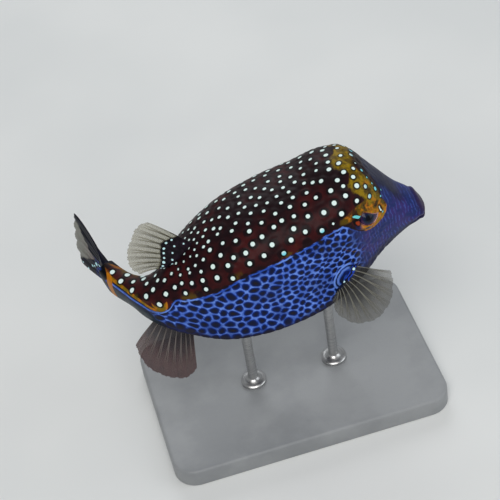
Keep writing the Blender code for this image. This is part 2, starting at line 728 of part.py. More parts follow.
def make_head(finish):
    """Head with plates on cheek and crown, lids, lips, mouth, nostrils and eye sockets."""
    rows = plate_rows(PLATES_START, HEAD_END - PLATE_EDGE)
    head = plated_solid("head", SNOUT_RINGS, rows, [HEAD_END - GAP / 2], finish=finish)
    lips = [lip(LIP_UPPER_Z, LIP_UPPER_DROP, LIP_UPPER_R), lip(LIP_LOWER_Z, LIP_LOWER_DROP, LIP_LOWER_R)]
    combine(head, [lid_ring(-1), lid_ring(1)] + lips, "UNION")
    sockets = [ball("socket", eye_frame(side)[0], EYE_RADIUS + GAP) for side in (-1, 1)]
    combine(head, sockets + nostril_cutters() + [mouth_cutter()], "DIFFERENCE")


def shell_form(name, proud, finish=None):
    """The plated shell, or with proud a copy grown by that much."""
    rows = plate_rows(HEAD_END + PLATE_EDGE, PLATES_END)
    back = [SHELL_END - RIM_WIDTH, SHELL_END - GAP / 2 - RIM_PROUD]
    return plated_solid(name, [HEAD_END + GAP / 2], rows, back, proud, finish, RIM_PROUD)


def shell_cutter():
    """Grown shell that cuts a root or a rod short of the skin by the gap."""
    return shell_form("shell_cutter", GAP)


def make_fish():
    """All nodes of the fish."""
    head_skin = material("head_skin", (0.09, 0.08, 0.25), 0.45)
    shell_skin = material("shell_skin", (0.045, 0.018, 0.02), 0.42)
    tail_skin = material("tail_skin", (0.06, 0.04, 0.08), 0.45)
    web = material("fin_web", (0.45, 0.42, 0.42), 0.5)
    eye_gloss = material("eye_gloss", (0.02, 0.02, 0.03), 0.08)

    make_head(head_skin)
    shell = shell_form("carapace", 0.0, shell_skin)
    combine(shell, [gill_cutter(-1), gill_cutter(1)], "DIFFERENCE")
    stem_solid("tail_peduncle", STEM_RINGS, tail_skin)
    for fin in (DORSAL, ANAL):
        middle_fin(fin, shell_cutter, web)
    pectoral_fin("pectoral_fin_right", -1, shell_cutter, web)
    pectoral_fin("pectoral_fin_left", 1, shell_cutter, web)
    caudal_fin(web)
    ball("eye_right", eye_frame(-1)[0], EYE_RADIUS, finish=eye_gloss)
    ball("eye_left", eye_frame(1)[0], EYE_RADIUS, finish=eye_gloss)


def turned(name, profile, place, finish, sides=ROD_SIDES):
    """Turned piece about a vertical axis; profile lists radius and height from the foot up."""
    angle = np.arange(sides) * 2 * math.pi / sides
    rings = [np.stack([place[0] + r * np.cos(angle), place[1] + r * np.sin(angle), np.full(sides, h)], -1)
             for r, h in profile]
    ends = np.array([[place[0], place[1], profile[0][1]], [place[0], place[1], profile[-1][1]]])
    points = np.concatenate(rings + [ends]) * MM
    count = len(profile)
    faces = []
    for j in range(sides):
        k = (j + 1) % sides
        for r in range(count - 1):
            a = r * sides
            faces.append((a + j, a + k, a + sides + k, a + sides + j))
        faces.append((count * sides, k, j))
        faces.append((count * sides + 1, (count - 1) * sides + j, (count - 1) * sides + k))
    return solid(name, points, faces, finish)


def make_stand():
    """Flat base and two rods whose tops are cut to the belly."""
    base_finish = material("stand_base_paint", (0.55, 0.56, 0.57), 0.45)
    steel = material("stand_rod_steel", (0.62, 0.62, 0.63), 0.28, 1.0)
    length, width, height = BASE_SIZE
    mesh = bpy.data.meshes.new("stand_base")
    bm = bmesh.new()
    bmesh.ops.create_cube(bm, size=1.0)
    bmesh.ops.scale(bm, verts=bm.verts[:], vec=(length * MM, width * MM, height * MM))
    bmesh.ops.translate(bm, verts=bm.verts[:], vec=(0.0, 0.0, height * MM / 2))
    upright = [e for e in bm.edges if abs(e.verts[0].co.z - e.verts[1].co.z) > height * MM / 2]
    bmesh.ops.bevel(bm, geom=upright, offset=BASE_CORNER * MM, segments=6, affect="EDGES", profile=0.5)
    top = [e for e in bm.edges if min(v.co.z for v in e.verts) > height * MM * 0.99]
    top = [e for e in top if len(e.link_faces) == 2 and any(abs(f.normal.z) < 0.5 for f in e.link_faces)]
    bmesh.ops.bevel(bm, geom=top, offset=BASE_EDGE * MM, segments=2, affect="EDGES", profile=0.5)
    bm.to_mesh(mesh)
    bm.free()
    base = bpy.data.objects.new("stand_base", mesh)
    mesh.materials.append(base_finish)
    bpy.context.collection.objects.link(base)
    for name, s in (("stand_rod_front", ROD_FRONT_S), ("stand_rod_rear", ROD_REAR_S)):
        belly = placed(skin(np.array([s]), np.array([0.0])))[0] / MM
        foot = height + GAP
        profile = [
            (ROD_FOOT_RADIUS, foot),
            (ROD_FOOT_RADIUS, foot + ROD_FOOT_EDGE),
            (ROD_RADIUS, foot + ROD_FOOT_HEIGHT),
            (ROD_RADIUS, belly[2] - ROD_PAD_START),
            (ROD_PAD_RADIUS, belly[2] - ROD_PAD_EDGE),
            (ROD_PAD_RADIUS, belly[2] + ROD_INTO_BELLY),
        ]
        rod = turned(name, profile, (belly[0], belly[1]), steel)
        combine(rod, [shell_cutter()], "DIFFERENCE")
        rod.data.set_sharp_from_angle(angle=math.radians(35))


def main():
    """Clear the scene and build the model."""
    for obj in list(bpy.data.objects):
        bpy.data.objects.remove(obj)
    make_fish()
    make_stand()


main()
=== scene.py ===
"""Spotted boxfish on its display stand: skin, eyes, fins, stand and studio.

Lengths are worked out in millimetres in the fish's own frame: the tip of the
snout is the origin, the body lies at negative x, y is its left and z is up. A
place on the body is a distance s behind the snout along the bent spine, and a
turn t round the section: 0 is the middle of the belly, 2.5 and 5 are the lower
and upper ridge of the right side, 7 is the middle of the back, and 14 the belly
again. BodyShape.placed turns such points into metres in the stand's frame.
"""
import logging
import math
from dataclasses import dataclass, field
from enum import Enum
from functools import cached_property

import bpy
import numpy as np
from mathutils import Matrix, Vector


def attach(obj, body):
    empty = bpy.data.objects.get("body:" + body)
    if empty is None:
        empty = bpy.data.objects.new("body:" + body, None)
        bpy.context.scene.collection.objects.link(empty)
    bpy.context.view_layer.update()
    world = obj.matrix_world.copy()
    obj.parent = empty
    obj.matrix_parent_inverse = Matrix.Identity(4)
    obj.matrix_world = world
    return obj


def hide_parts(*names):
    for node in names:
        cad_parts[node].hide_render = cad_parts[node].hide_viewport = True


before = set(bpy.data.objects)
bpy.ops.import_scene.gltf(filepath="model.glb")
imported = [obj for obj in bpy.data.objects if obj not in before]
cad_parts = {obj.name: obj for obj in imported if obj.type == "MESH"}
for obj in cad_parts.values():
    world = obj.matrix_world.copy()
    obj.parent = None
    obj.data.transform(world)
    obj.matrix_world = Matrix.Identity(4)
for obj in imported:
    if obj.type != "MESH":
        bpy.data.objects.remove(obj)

MM = 0.001
MOST_PAIRS = 4_000_000
LOG = logging.getLogger("boxfish")
Color = tuple[float, float, float]


class Side(Enum):
    """Side of the fish, with the sign of y there."""
    RIGHT = -1
    LEFT = 1


class Slot(Enum):
    """The record's material slots, one for each kind of piece."""
    SHELL = "shell_skin"
    FIN = "fin_web"
    EYE = "eye"
    BASE = "stand_base"
    ROD = "stand_rod"


def hermite(x: np.ndarray, xs: tuple, ys: tuple) -> np.ndarray:
    """Read a smooth curve through points.

    Formula: a cubic Hermite curve, whose slope at a point is the mean of the two
    slopes beside it, each weighted by the other's step.

    Args:
        x: Where to read the curve.
        xs: Rising places of the points.
        ys: Values at the points.

    Returns:
        The values at x.
    """
    xs = np.asarray(xs, float)
    ys = np.asarray(ys, float)
    step = np.diff(xs)
    slope = np.diff(ys) / step
    lean = np.concatenate([
        slope[:1],
        (slope[:-1] * step[1:] + slope[1:] * step[:-1]) / (step[1:] + step[:-1]),
        slope[-1:],
    ])
    i = np.clip(np.searchsorted(xs, x) - 1, 0, len(xs) - 2)
    f = (x - xs[i]) / step[i]
    start = (1 + 2 * f) * (1 - f) ** 2 * ys[i] + f * (1 - f) ** 2 * step[i] * lean[i]
    end = f * f * (3 - 2 * f) * ys[i + 1] + f * f * (f - 1) * step[i] * lean[i + 1]
    return start + end


def ramp(x: np.ndarray, low: float, high: float) -> np.ndarray:
    """Rise smoothly from 0 at low to 1 at high, or fall where low is above high.

    Args:
        x: Values to map.
        low: Where the result is 0.
        high: Where the result is 1.

    Returns:
        The cubic 3f^2 - 2f^3 of the share f of the way from low to high.
    """
    f = np.clip((x - low) / (high - low), 0.0, 1.0)
    return f * f * (3 - 2 * f)


def unit(v: np.ndarray) -> np.ndarray:
    """Scale vectors to length one."""
    return v / np.linalg.norm(v, axis=-1, keepdims=True)


@dataclass(frozen=True)
class BodyShape:
    """The body's closed surface over s and t, from the same sizes as the solids."""
    pitch: float = 7.0
    pivot: tuple = (-60.0, 0.0, 24.0)
    pivot_height: float = 76.0
    bend_places: tuple = (0.0, 99.0, 113.0, 138.0, 180.0)
    bend_turns: tuple = (0.0, 0.0, 50.0, 77.0, 66.0)
    spine_step: float = 0.05
    softening: int = 61
    stations: tuple = (0, 1, 3.5, 8, 14, 22, 30, 42, 58, 74, 88, 98, 106, 114, 132)
    belly_z: tuple = (17.2, 15, 14.2, 13.4, 12, 9.2, 5.4, 1.6, 0.2, 0.8, 3.2, 6.6, 10.2, 12.4, 12.8)
    lower_w: tuple = (0, 3, 4.2, 5.4, 7.4, 10.4, 14, 17.8, 20.4, 20.2, 17.6, 12.8, 7, 3.6, 2.6)
    lower_z: tuple = (17.2, 15.6, 14.8, 14.2, 13.2, 11, 7.2, 3.2, 2, 2.6, 4.8, 8, 11.6, 13.4, 13.6)
    flank_w: tuple = (0, 4, 5.8, 7.6, 10.4, 13.8, 16.8, 19.2, 20.6, 20.2, 17.4, 13.2, 8.6, 5.2, 3.4)
    flank_z: tuple = (17.2, 18.2, 18.6, 19.4, 20.6, 21.6, 21.4, 20.4, 19.8, 19.6, 19.6, 19.4, 19, 18.9, 19.4)
    upper_w: tuple = (0, 4.2, 6.4, 8.4, 11.8, 16.8, 20.8, 23.2, 23.8, 22.6, 18.4, 13.4, 8.4, 5.4, 3.6)
    upper_z: tuple = (17.2, 20.8, 23, 25.8, 30.4, 36, 38.6, 38.4, 36.6, 34, 30.8, 28, 25.6, 24.4, 25.4)
    shoulder_w: tuple = (0, 3, 4.6, 6.2, 9.2, 13.8, 16.4, 17.4, 17.8, 16.2, 12.8, 9, 5.8, 3.8, 2.6)
    shoulder_z: tuple = (17.2, 21.8, 24.8, 29.8, 39, 50.2, 51, 48.5, 47, 44, 38.4, 33.2, 28.6, 26.4, 27)
    top_z: tuple = (17.2, 22.2, 25.4, 30.6, 40.6, 53.4, 54.6, 52, 50.2, 47.2, 41.2, 35, 29.6, 27, 27.8)
    belly_inner: float = 0.55
    turns: int = 14
    ridge_turns: tuple = (0.0, 2.5, 5.0, 7.0)
    arc_samples: int = 421

    @cached_property
    def spine_table(self) -> np.ndarray:
        """Rows of s, x, y and turn: turns between bend_places, softened and summed up."""
        s = np.arange(0.0, self.bend_places[-1] + self.spine_step, self.spine_step)
        turn = np.radians(np.interp(s, self.bend_places, self.bend_turns))
        padded = np.pad(turn, self.softening // 2, mode="edge")
        turn = np.convolve(padded, np.ones(self.softening) / self.softening, "valid")
        x = -np.concatenate([[0.0], np.cumsum(np.cos(turn[:-1]) * self.spine_step)])
        y = np.concatenate([[0.0], np.cumsum(np.sin(turn[:-1]) * self.spine_step)])
        return np.stack([s, x, y, turn])

    def spine(self, s: np.ndarray) -> tuple:
        """Place x, y and turn of the spine at s."""
        return tuple(np.interp(s, self.spine_table[0], row) for row in self.spine_table[1:])

    def section(self, s: np.ndarray, t: np.ndarray) -> np.ndarray:
        """Width and height of the surface.

        Formula: a closed uniform cubic B-spline through fourteen guide points, whose
        places are smooth functions of s.

        Args:
            s: Distances along the spine.
            t: Turns round the section.

        Returns:
            Array of the sideways place, to the right, and the height.
        """
        s, t = np.broadcast_arrays(np.asarray(s, float), np.asarray(t, float))
        read = {name: hermite(s, self.stations, getattr(self, name)) for name in (
            "belly_z", "lower_w", "lower_z", "flank_w", "flank_z", "upper_w", "upper_z",
            "shoulder_w", "shoulder_z", "top_z")}
        middle = np.zeros_like(s)
        lower = (read["lower_w"], read["lower_z"])
        half = [
            (middle, read["belly_z"]), (self.belly_inner * lower[0], read["belly_z"]), lower, lower,
            (read["flank_w"], read["flank_z"]), (read["upper_w"], read["upper_z"]),
            (read["shoulder_w"], read["shoulder_z"]), (middle, read["top_z"]),
        ]
        guide = np.array(half + [(-w, z) for w, z in half[-2:0:-1]])
        i = np.floor(t).astype(int)
        f = t - i
        weights = (
            (1 - f) ** 3 / 6,
            (3 * f ** 3 - 6 * f ** 2 + 4) / 6,
            (-3 * f ** 3 + 3 * f ** 2 + 3 * f + 1) / 6,
            f ** 3 / 6,
        )
        out = np.zeros((2,) + s.shape)
        for k, weight in enumerate(weights):
            index = (i + k - 1) % self.turns
            out += weight * np.take_along_axis(guide, index[None, None], 0)[0]
        return out

    def surface(self, s: np.ndarray, t: np.ndarray) -> np.ndarray:
        """Points of the surface: the section's width and height set across the spine."""
        x, y, turn = self.spine(s)
        side, z = self.section(s, t)
        return np.stack([x - np.sin(turn) * side, y - np.cos(turn) * side, z], -1)

    def placed(self, points: np.ndarray) -> np.ndarray:
        """Points pitched nose up about the pivot and lifted over the base, in metres."""
        p = np.asarray(points, float) - self.pivot
        a = math.radians(self.pitch)
        x = p[..., 0] * math.cos(a) - p[..., 2] * math.sin(a)
        z = p[..., 0] * math.sin(a) + p[..., 2] * math.cos(a) + self.pivot_height
        return np.stack([x, p[..., 1], z], -1) * MM

    def even_turns(self, s: np.ndarray, parts: tuple, crowd: tuple) -> np.ndarray:
        """Turns that part each section evenly by arc length between its ridges.

        Args:
            s: Rows of the grid.
            parts: Number of steps on the belly, flank and back of one side.
            crowd: How much closer the steps lie by the eye, and the turn, its reach,
                the distance and its reach of that place.

        Returns:
            Array of a row for each s, with turns from 0 to just under 14.
        """
        fine = np.linspace(0.0, self.turns / 2, self.arc_samples)
        run = np.diff(self.section(s[:, None], fine[None]), axis=2)
        gain, turn, turn_reach, place, place_reach = crowd
        middle = (fine[1:] + fine[:-1]) / 2
        far = ((middle[None] - turn) / turn_reach) ** 2 + ((s[:, None] - place) / place_reach) ** 2
        more = gain * np.exp(-far)
        length = np.pad(np.cumsum(np.hypot(run[0], run[1]) * (1 + more), 1), ((0, 0), (1, 0)))
        marks = np.cumsum((0,) + parts)
        steps = np.arange(marks[-1] + 1)
        rows = []
        for arc in length:
            ridge = np.interp(self.ridge_turns, fine, arc)
            rows.append(np.interp(np.interp(steps, marks, ridge), arc, fine))
        half = np.array(rows)
        return np.concatenate([half, self.turns - half[:, -2:0:-1]], 1)


@dataclass(frozen=True)
class EyePlace:
    """Where an eyeball sits: its axis leaves the head at s, t, and it stands proud."""
    s: float = 24.4
    t: float = 4.95
    axis: tuple = (0.2, -0.97, 0.14)
    radius: float = 5.6
    proud: float = 1.3

    def frame(self, shape: BodyShape, side: Side) -> tuple:
        """Work out one eye's frame.

        Args:
            shape: The body.
            side: Side of the fish.

        Returns:
            The point on the skin, and the axis, forward and upward unit vectors.
        """
        mirror = np.array([1.0, -side.value, 1.0])
        axis = unit(np.array(self.axis)) * mirror
        turn = self.t if side is Side.RIGHT else shape.turns - self.t
        point = shape.surface(np.array([self.s]), np.array([turn]))[0]
        up = unit(np.array([0.0, 0.0, 1.0]) - axis * axis[2])
        forward = np.cross(axis, up) * side.value
        return point, axis, unit(forward), up

    def ball_height(self, off_axis: np.ndarray) -> np.ndarray:
        """Height of the eyeball over the skin's point, at a distance off its axis."""
        under_root = np.clip(self.radius ** 2 - off_axis ** 2, 0.0, None)
        return self.proud - self.radius + np.sqrt(under_root)


def build_mesh(name: str, points: np.ndarray, quads: np.ndarray, tris: np.ndarray,
               fields: dict, material: bpy.types.Material, sharp: float = 180.0) -> bpy.types.Object:
    """Make a closed mesh object, facing outwards.

    Args:
        name: Name of the object.
        points: Vertices in metres, one row each.
        quads: Vertex numbers of the four-sided faces.
        tris: Vertex numbers of the triangles.
        fields: Values for each vertex, by attribute name.
        material: Its finish.
        sharp: Angle in degrees past which an edge stays sharp.

    Returns:
        The new object, linked to the scene.
    """
    quads = np.asarray(quads, int).reshape(-1, 4)
    tris = np.asarray(tris, int).reshape(-1, 3)
    flat = np.concatenate([tris, quads[:, :3], quads[:, [0, 2, 3]]])
    a, b, c = (points[flat[:, k]] - points.mean(0) for k in range(3))
    if (a * np.cross(b, c)).sum() < 0:
        quads = quads[:, ::-1]
        tris = tris[:, ::-1]
    loops = np.concatenate([quads.ravel(), tris.ravel()]).astype(np.int32)
    starts = np.concatenate([np.arange(len(quads)) * 4, len(quads) * 4 + np.arange(len(tris)) * 3])
    mesh = bpy.data.meshes.new(name)
    mesh.vertices.add(len(points))
    mesh.vertices.foreach_set("co", points.astype(np.float32).ravel())
    mesh.loops.add(len(loops))
    mesh.loops.foreach_set("vertex_index", loops)
    mesh.polygons.add(len(starts))
    mesh.polygons.foreach_set("loop_start", starts.astype(np.int32))
    mesh.update(calc_edges=True)
    for key, values in fields.items():
        attribute = mesh.attributes.new(key, "FLOAT", "POINT")
        attribute.data.foreach_set("value", values.astype(np.float32).ravel())
    mesh.shade_smooth()
    if sharp < 180.0:
        mesh.set_sharp_from_angle(angle=math.radians(sharp))
    mesh.materials.append(material)
    obj = bpy.data.objects.new(name, mesh)
    bpy.context.scene.collection.objects.link(obj)
    return obj


def grid_faces(rows: int, columns: int, closed: bool) -> np.ndarray:
    """Four-sided faces of a grid whose points are stored row by row.

    Args:
        rows: Number of rows.
        columns: Number of columns.
        closed: Whether the last column joins the first.

    Returns:
        Vertex numbers, four to a face.
    """
    across = columns if closed else columns - 1
    r, c = np.meshgrid(np.arange(rows - 1), np.arange(across), indexing="ij")
    d = (c + 1) % columns
    low, high = r * columns, (r + 1) * columns
    return np.stack([low + c, low + d, high + d, high + c], -1).reshape(-1, 4)


def cap_faces(rows: int, columns: int) -> np.ndarray:
    """Triangles from both ends of a closed grid to two end points, stored after the grid's."""
    k = np.arange(columns)
    first, last, count = (k + 1) % columns, (rows - 1) * columns, rows * columns
    front = np.stack([np.full(columns, count), first, k], -1)
    back = np.stack([np.full(columns, count + 1), last + k, last + first], -1)
    return np.concatenate([front, back])


def build_closed(name: str, rings: np.ndarray, ends: np.ndarray, fields: dict,
                 material: bpy.types.Material, sharp: float = 180.0) -> bpy.types.Object:
    """Make a closed piece from rings of points and a point at each end.

    Args:
        name: Name of the object.
        rings: Points in metres, as an array of rings, points of a ring, and x, y, z.
        ends: The two end points in metres.
        fields: Values for each vertex, ends last, by attribute name.
        material: Its finish.
        sharp: Angle in degrees past which an edge stays sharp.

    Returns:
        The new object.
    """
    rows, columns = rings.shape[:2]
    points = np.concatenate([rings.reshape(-1, 3), ends])
    quads = grid_faces(rows, columns, True)
    return build_mesh(name, points, quads, cap_faces(rows, columns), fields, material, sharp)


def nearest(points: np.ndarray, places: np.ndarray, count: int) -> tuple:
    """Distances to the nearest of some places, and which they are.

    Args:
        points: Points to measure from.
        places: Places to measure to.
        count: How many of the nearest to give, in order.

    Returns:
        Two arrays with a row for each point and count columns.
    """
    far = []
    which = []
    square = (places ** 2).sum(1)
    for part in np.array_split(points, len(points) * len(places) // MOST_PAIRS + 1):
        gap = (part ** 2).sum(1)[:, None] + square[None] - 2 * part @ places.T
        if count == 1:
            index = gap.argmin(1)[:, None]
        else:
            index = np.argpartition(gap, count, axis=1)[:, :count]
            order = np.take_along_axis(gap, index, 1).argsort(1)
            index = np.take_along_axis(index, order, 1)
        far.append(np.sqrt(np.clip(np.take_along_axis(gap, index, 1), 0.0, None)))
        which.append(index)
    return np.concatenate(far), np.concatenate(which)


def lathe(name: str, profile: np.ndarray, centre: tuple, sides: int, material: bpy.types.Material,
          sharp: float) -> bpy.types.Object:
    """Turned piece: a profile of radius and height carried round a vertical axis.

    Args:
        name: Name of the object.
        profile: Rows of radius and height in millimetres, from one end to the other.
        centre: Place of the axis, x and y in millimetres.
        sides: Number of steps round the axis.
        material: Its finish.
        sharp: Angle in degrees past which an edge stays sharp.

    Returns:
        The new object, with a point closing each end.
    """
    angle = np.arange(sides) * 2 * math.pi / sides
    ring = np.stack([np.cos(angle), np.sin(angle)], -1)
    flat = profile[:, None, :1] * ring[None] + np.asarray(centre)
    rings = np.concatenate([flat, np.repeat(profile[:, None, 1:], sides, 1)], -1)
    ends = np.array([[*centre, profile[0, 1]], [*centre, profile[-1, 1]]])
    return build_closed(name, rings * MM, ends * MM, {}, material, sharp)


class Value:
    """A number or colour in a material, with sums and products as nodes."""

    def __init__(self, graph: "Graph", socket: bpy.types.NodeSocket) -> None:
        """Wrap an output socket of a graph."""
        self.graph = graph
        self.socket = socket

    def __add__(self, other: object) -> "Value":
        """Sum."""
        return self.graph.math("ADD", self, other)

    def __sub__(self, other: object) -> "Value":
        """Difference."""
        return self.graph.math("SUBTRACT", self, other)

    def __rsub__(self, other: object) -> "Value":
        """Difference from a number."""
        return self.graph.math("SUBTRACT", other, self)

    def __mul__(self, other: object) -> "Value":
        """Product."""
        return self.graph.math("MULTIPLY", self, other)

    def __truediv__(self, other: object) -> "Value":
        """Quotient."""
        return self.graph.math("DIVIDE", self, other)

    __radd__ = __add__
    __rmul__ = __mul__

    def __abs__(self) -> "Value":
        """Size without the sign."""
        return self.graph.math("ABSOLUTE", self)


class Graph:
    """A material under construction."""

    def __init__(self, name: str) -> None:
        """Start a material with one Principled shader."""
        self.material = bpy.data.materials.new(name)
        self.material.use_nodes = True
        self.tree = self.material.node_tree
        self.shader = self.tree.nodes["Principled BSDF"]
        self.place = None
        self.fields = {}

    def node(self, kind: str, inputs: dict, **settings: object) -> bpy.types.Node:
        """Add a node, set its options, and feed its inputs by name or number."""
        made = self.tree.nodes.new(kind)
        for key, value in settings.items():
            setattr(made, key, value)
        for key, value in inputs.items():
            self.feed(made.inputs[key], value)
        return made

    def feed(self, socket: bpy.types.NodeSocket, value: object) -> None:
        """Link a Value to a socket, or set a plain number or colour on it."""
        if isinstance(value, Value):
            self.tree.links.new(value.socket, socket)
        elif isinstance(value, (tuple, list)):
            socket.default_value = (*value, 1.0) if len(value) == 3 and socket.type == "RGBA" else value
        else:
            socket.default_value = value

    def math(self, operation: str, a: object, b: object = None) -> Value:
        """One step of arithmetic."""
        inputs = {k: value for k, value in enumerate((a, b)) if value is not None}
        return Value(self, self.node("ShaderNodeMath", inputs, operation=operation).outputs[0])

    def most(self, a: object, b: object) -> Value:
        """The larger of two values."""
        return self.math("MAXIMUM", a, b)

    def ramp(self, value: Value, low: float, high: float) -> Value:
        """Rise smoothly from 0 at low to 1 at high, or fall where low is above high."""
        inputs = {"Value": value, "From Min": min(low, high), "From Max": max(low, high)}
        if low > high:
            inputs.update({"To Min": 1.0, "To Max": 0.0})
        made = self.node("ShaderNodeMapRange", inputs, interpolation_type="SMOOTHSTEP")
        return Value(self, made.outputs["Result"])

    def mix(self, a: object, b: object, share: object) -> Value:
        """Colour a, turned to colour b by share."""
        made = self.node("ShaderNodeMix", {0: share, 6: a, 7: b}, data_type="RGBA")
        return Value(self, made.outputs[2])

    def field(self, name: str) -> Value:
        """Read a number that the mesh holds at each vertex."""
        if name not in self.fields:
            made = self.node("ShaderNodeAttribute", {}, attribute_name=name)
            self.fields[name] = Value(self, made.outputs["Fac"])
        return self.fields[name]

    def read(self, *names: str) -> tuple:
        """Read several of the mesh's numbers."""
        return tuple(self.field(name) for name in names)

    def coordinates(self) -> Value:
        """Object coordinates, in metres."""
        if self.place is None:
            self.place = Value(self, self.node("ShaderNodeTexCoord", {}).outputs["Object"])
        return self.place

    def stretched(self, scale: tuple) -> Value:
        """Object coordinates, stretched."""
        made = self.node("ShaderNodeMapping", {"Vector": self.coordinates(), "Scale": scale})
        return Value(self, made.outputs[0])

    def noise(self, scale: float, detail: float = 2.0, rough: float = 0.5, at: Value = None) -> Value:
        """Cloudy noise of about 0.5, with scale patches to the unit of its coordinates."""
        inputs = {"Vector": self.coordinates() if at is None else at,
                  "Scale": scale, "Detail": detail, "Roughness": rough}
        return Value(self, self.node("ShaderNodeTexNoise", inputs).outputs[0])

    def cells(self, scale: float) -> Value:
        """Distance from the centre of small cells."""
        made = self.node("ShaderNodeTexVoronoi", {"Vector": self.coordinates(), "Scale": scale})
        return Value(self, made.outputs["Distance"])

    def bump(self, height: Value, depth_mm: float, strength: float) -> None:
        """Raise the surface by a height of 0 to 1 times a depth."""
        inputs = {"Strength": strength, "Distance": depth_mm * MM, "Height": height}
        made = self.node("ShaderNodeBump", inputs)
        self.tree.links.new(made.outputs[0], self.shader.inputs["Normal"])

    def finish(self, **sockets: object) -> bpy.types.Material:
        """Feed the Principled shader's sockets, named with _ for a space."""
        for key, value in sockets.items():
            self.feed(self.shader.inputs[key.replace("_", " ")], value)
        return self.material


@dataclass(frozen=True)
class Markings:
    """Where the colours of the body meet, as curves over s and t.

    The border parts the back from the flank, the face line the face from both, and
    net_low the net from the belly. The patch is the yellow one over the eye, the
    band and the blob are on the stem, and each set dot has s, t and a radius.
    """
    border_s: tuple = (14, 20, 24, 28, 31.3, 33.5, 36.5, 47, 61, 71, 77, 82.6, 87.4, 93, 97, 99.7, 101.4,
                       104.2, 106.8, 109.5, 114, 120.5, 132)
    border_t: tuple = (4.9, 4.8, 4.62, 4.72, 4.98, 5.16, 5.22, 5.18, 5.15, 5.15, 5.1, 5.0, 4.95, 4.95, 5.02,
                       5.1, 4.68, 4.36, 4.6, 5.0, 5.35, 5.55, 5.7)
    face_t: tuple = (4.0, 5.0, 5.35, 5.7, 6.05, 6.35, 6.6, 7.0)
    face_s: tuple = (17.6, 17.2, 16.5, 16.2, 16.3, 17.1, 18.1, 18.8)
    patch_t: tuple = (5.3, 5.6, 5.9, 6.1, 6.3, 6.45, 6.65, 7.0)
    patch_s: tuple = (20.0, 20.2, 22.0, 22.8, 23.0, 23.2, 24.6, 25.6)
    patch_half: tuple = (3.0, 3.1, 4.5, 5.0, 3.3, 2.0, 2.9, 4.4)
    patch_low: float = 5.2
    patch_fade: float = 2.0
    net_low_s: tuple = (0, 30, 39, 55, 84, 94, 101, 108, 132)
    net_low_t: tuple = (3.6, 3.3, 3.1, 2.95, 3.0, 3.1, 3.4, 3.6, 3.6)
    band_t: tuple = (2.6, 3.5, 4.6, 5.4, 6.0, 6.5, 7.0)
    band_s: tuple = (127.6, 126.4, 125.0, 124.4, 125.2, 127.4, 130.0)
    blob: tuple = (103.4, 5.0)
    pad_turns: tuple = (2.6, 4.6)
    left_turns: tuple = (7.3, 7.9)
    set_dots: tuple = (
        (125.5, 6.75, 1.1), (119.3, 6.4, 1.15), (112.3, 6.0, 1.15), (107.1, 5.62, 1.15), (104.8, 6.12, 1.1),
        (103.6, 4.98, 1.2), (101.3, 5.62, 1.1), (110.3, 7.38, 1.1), (98.1, 5.78, 0.95), (100.3, 6.4, 0.95),
        (95.3, 5.32, 0.9), (33.0, 5.55, 1.1), (34.3, 5.93, 1.05), (29.5, 5.95, 1.0), (30.0, 6.43, 1.0),
        (26.8, 6.55, 1.0), (24.3, 6.03, 1.05), (20.3, 6.53, 0.7), (19.5, 6.28, 0.5), (18.5, 6.13, 0.5),
        (18.0, 5.93, 0.85), (15.9, 5.98, 0.45), (21.0, 5.65, 0.9), (16.8, 5.68, 0.5), (17.8, 5.06, 0.55),
        (24.8, 7.45, 0.8), (21.5, 7.1, 0.9), (27.0, 6.85, 1.0), (21.3, 6.75, 0.5), (31.3, 6.8, 1.0),
        (33.5, 6.28, 1.05), (39.0, 5.88, 1.05), (29.8, 7.3, 1.0), (35.5, 6.62, 1.0), (41.7, 5.43, 1.0),
        (37.0, 5.42, 0.6),
    )


@dataclass(frozen=True)
class SkinColors:
    """Colours of the skin, in linear light."""
    maroon: Color = (0.0100, 0.0026, 0.0044)
    rust: Color = (0.062, 0.0060, 0.0065)
    halo: Color = (0.0012, 0.0016, 0.0022)
    dot: Color = (0.76, 0.92, 0.89)
    cyan_dot: Color = (0.20, 0.72, 0.84)
    olive: Color = (0.105, 0.064, 0.003)
    amber: Color = (0.280, 0.180, 0.003)
    orange: Color = (0.50, 0.170, 0.005)
    ember: Color = (0.30, 0.035, 0.006)
    net: Color = (0.022, 0.080, 0.45)
    net_bright: Color = (0.150, 0.290, 0.82)
    net_deep: Color = (0.0035, 0.0130, 0.110)
    hole: Color = (0.0020, 0.0060, 0.034)
    hole_heart: Color = (0.013, 0.0075, 0.0085)
    indigo: Color = (0.0110, 0.0210, 0.120)
    violet: Color = (0.040, 0.022, 0.150)
    face_line: Color = (0.050, 0.095, 0.38)
    forehead: Color = (0.0030, 0.0040, 0.022)
    snout: Color = (0.034, 0.014, 0.034)
    # Dark tone below the net and the face: painted shade of the underside.
    belly: Color = (0.0110, 0.0100, 0.026)
    # Near-black painted into the nostrils, gill slits and mouth line: painted shade of the openings.
    mouth: Color = (0.006, 0.002, 0.004)
    pink: Color = (0.30, 0.13, 0.17)
    turquoise: Color = (0.16, 0.66, 0.68)
    stem_low: Color = (0.006, 0.018, 0.030)
    # Pale colour of the painted glint along the lower lid's edge.
    lid_glint: Color = (0.55, 0.38, 0.34)


